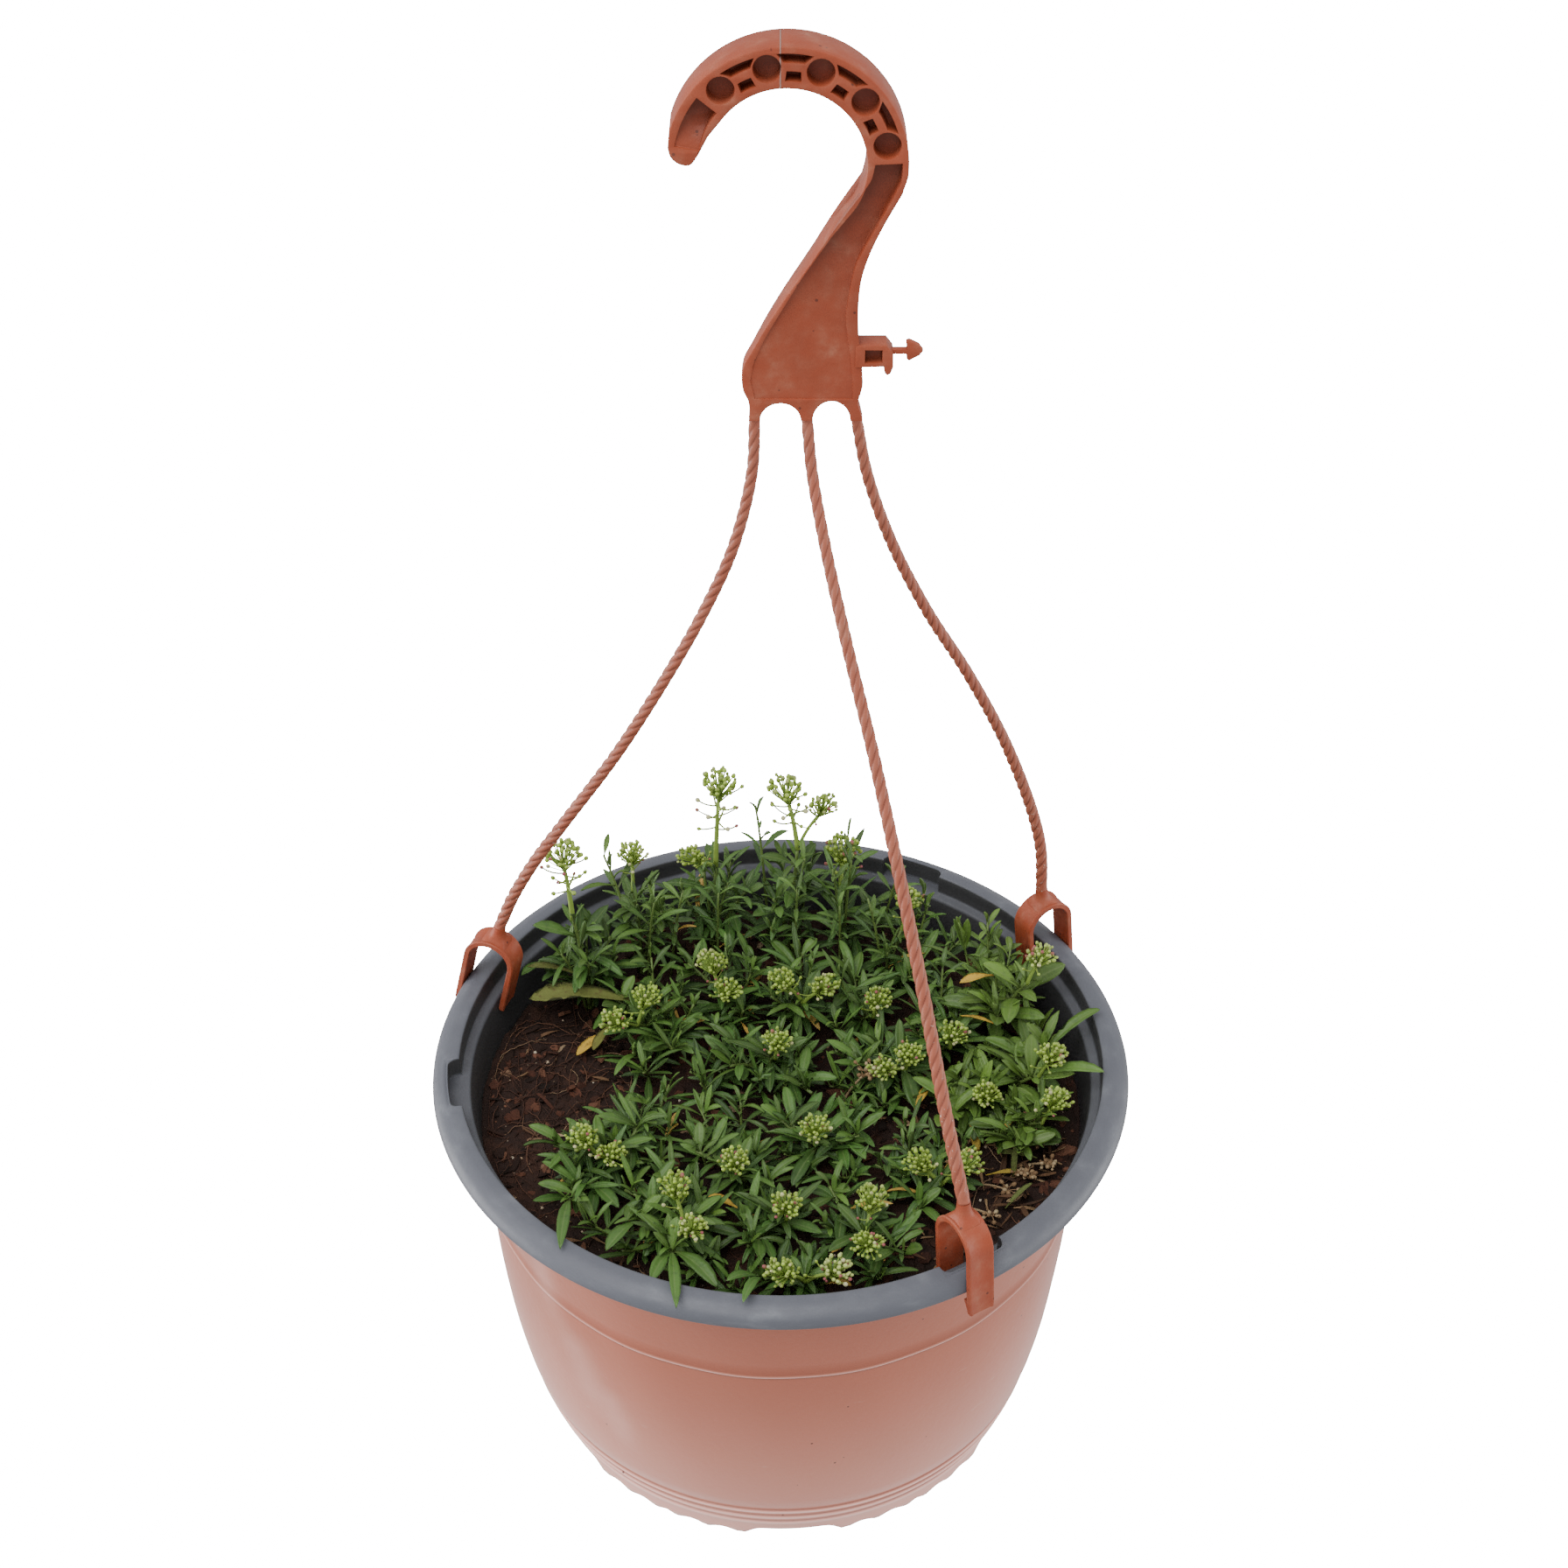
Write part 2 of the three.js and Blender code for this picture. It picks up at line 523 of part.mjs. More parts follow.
function makeHook() {
  const half = HOOK_DEPTH / 2;
  const cutters = [taperWedge(-1), taperWedge(1)];
  for (const outline of pocketOutlines()) {
    cutters.push(toSolid(slab(outline, -half - 1, -half + POCKET_DEPTH)));
    cutters.push(toSolid(slab(outline, half - POCKET_DEPTH, half + 1)));
  }
  const body = cut(toSolid(slab(hookOutline(), -half, half)), cutters);
  return body.add(makePin()).translate([0, 0, RIM]);
}

// ---------------------------------------------------------------- rim clips

// Outline of the clip across the rim: [out from the rim's skirt edge, height above the rim].
function clipOutline() {
  const outside = CLIP_THICKNESS;
  const middle = outside - CLIP_SPAN / 2;
  const radius = CLIP_SPAN / 2;
  const inner = radius - CLIP_THICKNESS;
  const shoulder = CLIP_APEX - radius;
  return [
    [outside, CLIP_OUTER_FOOT],
    ...arc(middle, shoulder, radius, radius, 0, 180, 10),
    [outside - CLIP_SPAN, CLIP_INNER_FOOT],
    [outside - CLIP_SPAN + CLIP_THICKNESS, CLIP_INNER_FOOT],
    ...arc(middle, shoulder, inner, inner, 180, 0, 8),
    [0, BARB_TOP],
    [-BARB_REACH, BARB_TOP],
    [0, CLIP_OUTER_FOOT],
  ];
}

// Placement of a clip: the inside of its outer leg lies a gap off the skirt's edge.
function clipPlace({ azimuth, lean, lift }) {
  const tilt = radians(lean);
  const drop = (SKIRT_DROP + lift) / Math.cos(tilt);
  const radius = RIM_RADIUS + GAP - drop * Math.sin(tilt);
  const place = new THREE.Matrix4().makeRotationZ(radians(azimuth));
  place.multiply(new THREE.Matrix4().makeTranslation(radius, 0, RIM + lift));
  place.multiply(new THREE.Matrix4().makeRotationY(-tilt));
  return place;
}

function makeClip(clip) {
  const half = CLIP_WIDTH / 2;
  const strip = slab(clipOutline(), -half, half);
  const neck = new THREE.BoxGeometry(NECK_SIDE, NECK_SIDE, NECK_LENGTH + 1);
  neck.translate(CLIP_THICKNESS - CLIP_SPAN / 2, 0, CLIP_APEX + (NECK_LENGTH - 1) / 2);
  const place = clipPlace(clip);
  strip.applyMatrix4(place);
  neck.applyMatrix4(place);
  return joined([toSolid(strip), toSolid(neck)]);
}

// ---------------------------------------------------------------- strands

function strandRoute(name) {
  const neckTop = new THREE.Vector3(CLIP_THICKNESS - CLIP_SPAN / 2, 0, CLIP_APEX + NECK_LENGTH + GAP);
  const end = neckTop.applyMatrix4(clipPlace(CLIPS[name]));
  const start = new THREE.Vector3(LEG_X[name], 0, RIM + LEG_BOTTOM - GAP);
  const through = STRAND_SWAY[name].map(([down, out]) => new THREE.Vector3(
    THREE.MathUtils.lerp(start.x, end.x, out),
    THREE.MathUtils.lerp(start.y, end.y, out),
    THREE.MathUtils.lerp(start.z, end.z, down),
  ));
  return new THREE.CatmullRomCurve3(through, false, 'centripetal').getSpacedPoints(STRAND_STEPS);
}

function makeStrand(name) {
  const radiusAt = (i) => THREE.MathUtils.lerp(STRAND_TOP_RADIUS, STRAND_FOOT_RADIUS, i / STRAND_STEPS);
  const down = new THREE.Vector3(0, 0, -1);
  const ends = [down, down.clone().transformDirection(clipPlace(CLIPS[name]))];
  return rod(strandRoute(name), 6, radiusAt, { turns: STRAND_TURNS, pinch: 0.78, ends });
}

// ---------------------------------------------------------------- leaves

// The spine of a blade along an arc.
function arcSpine({ root, azimuth, pitch, droop, length, stations }) {
  const points = [root.clone()];
  let slope = radians(pitch);
  let at = root.clone();
  for (let i = 1; i < stations.length; i += 1) {
    const step = (stations[i] - stations[i - 1]) * length;
    const out = Math.cos(slope) * step;
    at = at.clone().add(new THREE.Vector3(
      out * Math.cos(radians(azimuth)), out * Math.sin(radians(azimuth)), Math.sin(slope) * step,
    ));
    points.push(at);
    slope -= radians(droop) * (stations[i] - stations[i - 1]);
  }
  return points;
}

// Stations along a blade and its width there, for the main shoot's leaves and the side shoots'.
const LONG_BLADE = { stations: [0, 0.36, 0.7, 1], widths: [0.1, 0.86, 1, 0] };
const SHORT_BLADE = { stations: [0, 0.5, 1], widths: [0.1, 1, 0] };

// The spine of a large leaf that arches from a point on its shoot to its own tip.
function archSpine(root, tip) {
  const middle = root.clone().lerp(tip, 0.5);
  middle.z += root.distanceTo(tip) * 2 * LARGE_LEAF_RISE;
  const curve = new THREE.QuadraticBezierCurve3(root, middle, tip);
  return LONG_BLADE.stations.map((share) => curve.getPoint(share));
}

// A blade along its spine: narrow at the root, pointed at the tip, three-sided with a keel below.
function makeBlade({ spine: points, width, widths }) {
  const run = new THREE.Vector3().subVectors(points[points.length - 1], points[0]);
  const across = new THREE.Vector3(-run.y, run.x, 0).normalize();
  const vertices = [];
  points.slice(0, -1).forEach((p, i) => {
    const ahead = new THREE.Vector3().subVectors(points[i + 1], points[Math.max(i - 1, 0)]).normalize();
    const below = new THREE.Vector3().crossVectors(across, ahead);
    if (below.z > 0) below.negate();
    const half = (width / 2) * widths[i];
    vertices.push(p.clone().addScaledVector(across, half));
    vertices.push(p.clone().addScaledVector(across, -half));
    vertices.push(p.clone().addScaledVector(below, LEAF_KEEL * (i ? 1 : LEAF_ROOT_KEEL)));
  });
  vertices.push(points[points.length - 1]);
  const rings = points.length - 1;
  const index = [0, 1, 2];
  for (let ring = 0; ring + 1 < rings; ring += 1) {
    for (let k = 0; k < 3; k += 1) {
      const a = 3 * ring + k;
      const b = 3 * ring + ((k + 1) % 3);
      index.push(a, a + 3, b, b, a + 3, b + 3);
    }
  }
  const last = 3 * (rings - 1);
  for (let k = 0; k < 3; k += 1) index.push(last + k, 3 * rings, last + ((k + 1) % 3));
  return toSolid(fromVertices(vertices, index));
}

// ---------------------------------------------------------------- where leaves may lie

// Balls that stand for what is already placed: { at, radius, owner }.
const taken = [];

function claim(owner, points, radius) {
  for (const at of points) taken.push({ at, radius, owner });
}

// Points every 2 mm or so along a list of points.
function beads(points, spacing = 2) {
  const list = [];
  for (let i = 0; i + 1 < points.length; i += 1) {
    const count = Math.max(1, Math.ceil(points[i].distanceTo(points[i + 1]) / spacing));
    for (let k = 0; k < count; k += 1) list.push(points[i].clone().lerp(points[i + 1], k / count));
  }
  list.push(points[points.length - 1].clone());
  return list;
}

// Clear of other branches by the full width, and of the same branch's leaves, away from the root,
// by half of it.
function freeOfOthers(owner, root, points, radius) {
  return points.every((p) => taken.every((ball) => {
    const room = ball.at.distanceTo(p) / (ball.radius + radius);
    if (ball.owner !== owner) return room > 1;
    return room > 0.5 || ball.at.distanceTo(root) < 5;
  }));
}

// Clear of the mix, the wall and the rim.
function freeOfPot(points, radius) {
  return points.every((p) => {
    const reach = Math.hypot(p.x, p.y) + radius;
    if (p.z < mixHeight(p.x, p.y) + LEAF_KEEL + 1.2) return false;
    if (reach < 116.5) return true;
    return p.z > RIM + LEAF_KEEL + 0.6 && reach < RIM_RADIUS - 2;
  });
}

// ---------------------------------------------------------------- branches and sprays

const point = ([x, y, height]) => new THREE.Vector3(x, y, MIX_TOP + height);

// Points of a shoot that leaves its foot upright and arches over to its tip.
function shootPoints(from, tip, count) {
  const rise = tip.z - from.z;
  const bend = new THREE.Vector3(
    THREE.MathUtils.lerp(from.x, tip.x, 0.3), THREE.MathUtils.lerp(from.y, tip.y, 0.3),
    from.z + 0.6 * rise,
  );
  return new THREE.QuadraticBezierCurve3(from, bend, tip).getPoints(count);
}

// The main shoot comes straight out of its hole, and the side shoots leave it just above the mix.
function branchShoots(branch) {
  const [x, y] = branch.foot;
  const foot = new THREE.Vector3(x, y, mixHeight(x, y) - STEM_HOLE_DEPTH + GAP);
  const collar = new THREE.Vector3(x, y, mixHeight(x, y) + 3.2);
  const main = [foot, ...shootPoints(collar, point(branch.tip), 3)];
  const sides = branch.side.map((tip) => shootPoints(collar, point(tip), 3));
  return [main, ...sides];
}

// Large leaves: each starts from the point of the branch's shoots that is nearest to its tip.
function largeLeaves(branch, shoots) {
  return (branch.large || []).map(([x, y, height, width]) => {
    const tip = point([x, y, height]);
    const roots = shoots.flatMap((shoot) => {
      const curve = new THREE.CatmullRomCurve3(shoot);
      return [0.6, 0.75, 0.9].map((along) => curve.getPoint(along));
    });
    roots.sort((a, b) => a.distanceTo(tip) - b.distanceTo(tip));
    return { spine: archSpine(roots[0], tip), width, widths: LONG_BLADE.widths };
  });
}

// Leaves in a spiral up a shoot, longest in the middle, steeper towards the tip.
function placeLeaves(owner, shootNumber, shoot, count, [length, width]) {
  const curve = new THREE.CatmullRomCurve3(shoot);
  const leaves = [];
  for (let i = 0; i < count; i += 1) {
    const share = i / (count - 1);
    const along = THREE.MathUtils.lerp(0.5, 0.93, share);
    const root = curve.getPoint(along);
    for (let attempt = 0; attempt < 14; attempt += 1) {
      const draw = new Draw(owner * 4096 + shootNumber * 512 + i * 16 + attempt);
      const size = draw.between(0.95, 1.25) * (1 - 0.35 * Math.max(0, share - 0.6) / 0.4);
      const blade = shootNumber ? SHORT_BLADE : LONG_BLADE;
      const leaf = {
        root,
        azimuth: owner * 71 + i * GOLDEN_ANGLE + attempt * 49 + draw.between(-14, 14),
        pitch: THREE.MathUtils.lerp(6, 46, share) + draw.between(-6, 12) + attempt * 2,
        droop: draw.between(20, 55),
        length: length * size * (attempt > 7 ? 0.7 : 1),
        stations: blade.stations,
      };
      const spine = arcSpine(leaf);
      const half = (width / 2) * draw.between(0.95, 1.2);
      const places = beads(spine);
      const clear = places.slice(1);
      if (!freeOfPot(clear, half) || !freeOfOthers(owner, root, clear, half + 0.2)) continue;
      claim(owner, places, half);
      leaves.push({ spine, width: 2 * half, widths: blade.widths });
      break;
    }
  }
  return leaves;
}

function headPlaces(branch) {
  const tip = point(branch.tip);
  return branch.heads.map(([x, y, z]) => tip.clone().add(new THREE.Vector3(x, y, z)));
}

// A head: twenty pointed buds raised on the faces of a small core.
function makeHead(place, seed) {
  const draw = new Draw(900000 + seed * 64);
  const corners = new THREE.IcosahedronGeometry(HEAD_CORE, 0).getAttribute('position');
  const vertices = [];
  for (let first = 0; first < corners.count; first += 3) {
    const [a, b, c] = [0, 1, 2].map((k) => new THREE.Vector3().fromBufferAttribute(corners, first + k));
    const bud = a.clone().add(b).add(c).setLength(HEAD_RADIUS * draw.between(0.9, 1.06));
    vertices.push(a, b, bud, b, c, bud, c, a, bud);
  }
  const head = fromVertices(vertices);
  head.scale(1, 1, HEAD_FLATNESS);
  head.rotateZ(seed * 1.3);
  head.translate(place.x, place.y, place.z);
  return toSolid(head);
}

// Heads on stalks from just above the branch's tip.
function makeSpray(branch, number) {
  const tip = point(branch.tip);
  const foot = tip.clone().add(new THREE.Vector3(0, 0, STALK_GAP));
  const solids = [];
  headPlaces(branch).forEach((place, k) => {
    const neck = place.clone().add(new THREE.Vector3(0, 0, -HEAD_CORE * 0.4));
    solids.push(rod(shootPoints(foot, neck, 2), 3, (i) => 1 - 0.1 * i));
    solids.push(makeHead(place, number * 4 + k));
  });
  return joined(solids);
}

function makeBranch(branch, number) {
  const shoots = branchShoots(branch);
  const solids = shoots.map((shoot, k) => rod(
    shoot, 3, (i) => (k ? 1 : STEM_RADIUS) * (1 - 0.08 * i),
  ));
  const leaves = largeLeaves(branch, shoots);
  shoots.forEach((shoot, k) => {
    leaves.push(...placeLeaves(number, k, shoot, k ? LEAVES_ON_SIDE : LEAVES_ON_TIP, branch.leaf));
  });
  return joined([...solids, ...leaves.map(makeBlade)]);
}

// What the leaves keep clear of, besides the pot: strands, clips, stems and heads.
function claimFixed() {
  const STRANGER = -1;
  for (const name of Object.keys(CLIPS)) {
    claim(STRANGER, beads(strandRoute(name).slice(-20)), STRAND_FOOT_RADIUS + 0.4);
    const place = clipPlace(CLIPS[name]);
    for (const [out, height] of clipOutline()) {
      claim(STRANGER, [new THREE.Vector3(out, 0, height).applyMatrix4(place)], CLIP_WIDTH / 2 + 0.8);
    }
  }
  BRANCHES.forEach((branch, number) => {
    const shoots = branchShoots(branch);
    for (const shoot of shoots) claim(number, beads(shoot), STEM_RADIUS + 0.35);
    for (const { spine, width } of largeLeaves(branch, shoots)) claim(number, beads(spine), width / 2);
    const tip = point(branch.tip);
    for (const place of headPlaces(branch)) {
      claim(STRANGER, [place], HEAD_RADIUS + 0.8);
      claim(STRANGER, beads(shootPoints(tip, place, 3)).slice(1), 1.5);
    }
  });
}

// ---------------------------------------------------------------- the whole

const alyssum = new THREE.Group();

function addMesh(name, solid, material) {
  const mesh = new THREE.Mesh(toGeometry(solid), material);
  mesh.name = name;
  alyssum.add(mesh);
}

addMesh('pot', makePot(), terracotta);
addMesh('potting_mix', makeMix(), mixBrown);
addMesh('hook', makeHook(), hangerRed);
for (const name of Object.keys(CLIPS)) {
  addMesh(`strand_${name}`, makeStrand(name), hangerRed);
  addMesh(`clip_${name}`, makeClip(CLIPS[name]), hangerRed);
}
claimFixed();
BRANCHES.forEach((branch, number) => {
  const label = String(number + 1).padStart(2, '0');
  addMesh(`branch_${label}`, makeBranch(branch, number), leafGreen);
  addMesh(`flower_spray_${label}`, makeSpray(branch, number), budGreen);
});

export default alyssum;
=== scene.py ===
"""Sweet alyssum in a two-tone plastic hanging pot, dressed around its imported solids.

The tables and the mesh code are in millimetres, in the frame of the solids: +Z up, origin at the
centre of the pot's base, -Y to the front. Every mesh is made in metres from them.
"""

import math

import bmesh
import bpy
import numpy as np
from bpy.props import FloatProperty, FloatVectorProperty, IntProperty, PointerProperty
from mathutils import Matrix, Vector, noise
from mathutils.geometry import tessellate_polygon


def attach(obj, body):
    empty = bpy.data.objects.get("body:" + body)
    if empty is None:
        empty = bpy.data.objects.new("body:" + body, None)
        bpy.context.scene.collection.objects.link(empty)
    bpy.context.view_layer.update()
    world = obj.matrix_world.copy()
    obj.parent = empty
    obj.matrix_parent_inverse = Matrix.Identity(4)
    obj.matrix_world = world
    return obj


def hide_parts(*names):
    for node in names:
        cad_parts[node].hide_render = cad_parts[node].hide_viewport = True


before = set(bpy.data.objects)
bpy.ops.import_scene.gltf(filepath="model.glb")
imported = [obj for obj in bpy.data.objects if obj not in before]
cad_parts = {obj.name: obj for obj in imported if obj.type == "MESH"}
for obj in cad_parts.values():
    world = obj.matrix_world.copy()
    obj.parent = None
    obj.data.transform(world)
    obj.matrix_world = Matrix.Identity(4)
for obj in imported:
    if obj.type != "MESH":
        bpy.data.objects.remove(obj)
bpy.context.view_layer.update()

bl_info = {
    "name": "Sweet alyssum hanging pot",
    "version": (1, 0, 0),
    "blender": (4, 5, 0),
    "location": "3D View > Sidebar > Alyssum",
    "description": "Builds a hanging pot of young sweet alyssum, piece by piece",
    "category": "Object",
}

MM = 0.001

# -------------------- sizes shared with the solids

RIM = 171.0
RIM_RADIUS = 135.0
SKIRT_DROP = 6.5
FLANGE_INNER = 124.5
NOTCH_AZIMUTHS = (-57.5, 63.4, 188.8)
NOTCH_HALF_ANGLE = 6.0
NOTCH_RADIUS = 128.8
FLOOR_EDGE = 96.0
FLOOR_UNDER = 5.5
FLOOR_TOP = 6.8
DRAIN_HOLES = 6
DRAIN_RADIUS = 4.0
DRAIN_CIRCLE = 62.0
MIX_TOP = RIM - 28.0
GAP = 0.3

HOOK_DEPTH = 16.0
LEG_DEPTH = 6.0
TAPER_TOP = 358.0
TAPER_BOTTOM = 292.0
HOOK_CENTRE = (1.8, 362.7)
CROOK_OUTER = 36.3
CROOK_INNER = 23.9
POCKET_DEPTH = 4.9
ROUND_POCKETS = (129.5, 101.0, 71.0, 41.0, 12.5)
ROUND_POCKET_RADIUS = 4.2
ROUND_POCKET_CIRCLE = 30.4
PIN_BLOCK_DEPTH = 8.0
PIN_ARROW_DEPTH = 2.6
PIN_WINDOW_DEPTH = 3.0
LEG_BOTTOM = 275.5
LEG_X = {"left": -8.4, "front": 8.4, "right": 24.2}

CLIP_WIDTH = 10.6
CLIP_THICKNESS = 2.3
CLIP_SPAN = 21.4
CLIP_APEX = 20.8
CLIP_OUTER_FOOT = -16.0
CLIP_INNER_FOOT = -12.5
BARB_TOP = -10.5
BARB_REACH = 2.0
NECK_LENGTH = 6.5
CLIPS = {  # azimuth, lean, lift
    "front": (-59.0, 6.0, 0.0),
    "left": (160.0, 14.0, 3.0),
    "right": (31.0, 7.0, 2.0),
}
STRAND_STEPS = 32
STRAND_FOOT_RADIUS = 2.4
STRAND_SWAY = {  # share of the way down, share of the way out
    "front": ((0, 0), (0.07, 0.03), (0.16, 0.107), (0.28, 0.241), (0.4, 0.391), (0.5, 0.502),
              (0.6, 0.607), (0.72, 0.728), (0.88, 0.876), (1, 1)),
    "left": ((0, 0), (0.08, 0.009), (0.2, 0.071), (0.32, 0.178), (0.45, 0.32), (0.6, 0.501),
             (0.75, 0.706), (0.85, 0.842), (0.93, 0.935), (1, 1)),
    "right": ((0, 0), (0.09, 0.05), (0.21, 0.159), (0.35, 0.329), (0.5, 0.544), (0.67, 0.758),
              (0.84, 0.926), (0.92, 0.98), (1, 1)),
}

STEM_RADIUS = 1.2
STEM_HOLE_DEPTH = 9.0
LEAF_KEEL = 0.95
ABOVE_MIX = 1.2
ABOVE_RIM = 0.6
WITHIN_WALL = 116.5
WITHIN_RIM = 2
GOLDEN_ANGLE = 137.5
GOLDEN_TURN = 2.39996  # the same in radians
LEAVES_ON_TIP = 7
LEAVES_ON_SIDE = 5
HEAD_RADIUS = 6.6
HEAD_FLATNESS = 0.8
LARGE_LEAF_RISE = 0.14
LONG_STATIONS = (0, 0.36, 0.7, 1)
SHORT_STATIONS = (0, 0.5, 1)

# foot, tip of the main shoot, tips of the side shoots, leaf length and width, heads from the main
# tip, and large leaves: tip and width. Heights are above the mix.
BRANCHES = (
    ((-79, 54), (-84, 58, 45), ((-98, 62, 20), (-70, 66, 28)), (20, 5), ((-3, 3, 30),),
     ((-106, 52, 19, 5),)),
    ((-58, 74), (-61, 82, 40), ((-49, 78, 32),), (18, 4.2), ((0, 4, 16),), ()),
    ((-28, 86), (-27, 92, 45), ((-14, 86, 36), (-42, 96, 26)), (18, 4.4),
     ((2, 5, 38), (-10, -3, 6)), ()),
    ((4, 86), (7, 92, 54), ((-3, 78, 38),), (17, 4.4), ((-5, 6, 26), (11, 4, 19)), ()),
    ((26, 82), (25, 92, 34), ((38, 90, 22),), (18, 4.4), ((1, 7, 14),), ((37, 74, 24, 4.4),)),
    ((44, 66), (50, 75, 24), ((60, 62, 15),), (18, 4.2), ((3, 5, 12),), ()),
    ((-18, 44), (-24, 37, 20), ((-38, 54, 24), (-10, 56, 26)), (17, 4.4),
     ((-4, 8, 13), (3, -10, 13)), ()),
    ((-50, 32), (-57, 22, 20), ((-42, 10, 16), (-66, 38, 18)), (18, 4.6),
     ((4, 3, 12), (-9, -7, 8)), ((-102, 50, 7, 9), (-76, 30, 9, 5.5))),
    ((8, 42), (9, 33, 22), ((8, 58, 26),), (17, 4.4), ((-9, -3, 14), (9, -3, 11)), ()),
    ((31, 38), (37, 29, 18), ((30, 52, 20),), (18, 4.4), ((2, -2, 10),), ()),
    ((-6, 12), (-2, 2, 21), ((-20, 0, 18), (12, -14, 17)), (18, 4.4), ((1, -4, 12),), ()),
    ((44, 8), (49, 1, 16), ((30, 4, 15),), (18, 4.4), ((1, -4, 11), (-10, -10, 9)),
     ((53, -16, 9, 7.5),)),
    ((64, 22), (67, 12, 17), ((70, 34, 18),), (18, 4.6), ((1, -4, 11),), ()),
    ((88, 36), (98, 31, 34), ((82, 50, 22), (86, 22, 24)), (20, 6.2), ((5, 0, 14),),
     ((63, 33, 22, 6.5),)),
    ((90, 0), (100, -8, 20), ((106, 8, 20),), (19, 6.4), ((5, -2, 13),),
     ((124, -17, 31, 5), (126, 18, 31.5, 5))),
    ((90, -22), (100, -28, 15), ((92, -42, 12),), (18, 6), ((5, -1, 13),), ()),
    ((76, -6), (79, -15, 12), ((64, -22, 10),), (18, 6), ((0, -4, 9),), ()),
    ((-62, -40), (-69, -47, 17), ((-86, -40, 15), (-52, -30, 19), (-80, -72, 16)), (18, 4.4),
     ((-5, -2, 11), (6, -7, 7)), ((-78, -106, 30, 4.6),)),
    ((-34, -72), (-35, -83, 18), ((-54, -78, 15), (-58, -62, 14), (-40, -98, 18)), (18, 4.6),
     ((-4, 7, 13), (4, -14, 13)),
     ((-36, -133, 30, 4.6), (-22, -115, 20, 6), (-63, -96, 18, 6), (-46, -114, 22, 5))),
    ((-14, -50), (-17, -57, 17), ((-32, -46, 18),), (17, 4.4), ((0, -4, 11),), ()),
    ((14, -36), (13, -43, 19), ((0, -30, 18), (30, -34, 14)), (18, 4.6), ((0, -4, 12),),
     ((-8, -24, 15, 7),)),
    ((-2, -72), (2, -79, 17), ((-12, -90, 14),), (18, 4.4), ((0, -4, 11),), ()),
    ((28, -78), (31, -88, 17), ((18, -62, 16), (46, -90, 10)), (17, 4.2),
     ((2, 9, 11), (0, -15, 12)), ()),
    ((58, -48), (60, -57, 12), ((50, -70, 9),), (17, 4.2), ((-9, 0, 11), (10, 0, 11)), ()),
    ((8, -98), (9, -106, 14), ((-8, -102, 10),), (16, 4.4), ((-9, -7, 12), (11, -6, 12)),
     ((-13, -133, 33, 4), (-19, -116, 25, 5))),
)

# -------------------- shader expressions


class Value:
    """A number, colour or vector on its way through a material, with the sums it is used in."""

    def __init__(self, finish, socket):
        self.finish = finish
        self.socket = socket

    def _sum(self, operation, first, second):
        return self.finish.value("ShaderNodeMath", {"operation": operation}, {0: first, 1: second})

    def __add__(self, other):
        return self._sum("ADD", self, other)

    __radd__ = __add__

    def __sub__(self, other):
        return self._sum("SUBTRACT", self, other)

    def __rsub__(self, other):
        return self._sum("SUBTRACT", other, self)

    def __mul__(self, other):
        return self._sum("MULTIPLY", self, other)

    __rmul__ = __mul__

    def __pow__(self, other):
        return self._sum("POWER", self, other)

    def __lt__(self, other):
        return self._sum("LESS_THAN", self, other)

    def __gt__(self, other):
        return self._sum("GREATER_THAN", self, other)

    def between(self, low, high):
        """0 below low, 1 above high, smooth in between."""
        return self.finish.value(
            "ShaderNodeMapRange", {"interpolation_type": "SMOOTHSTEP"},
            {"Value": self, "From Min": low, "From Max": high},
        )


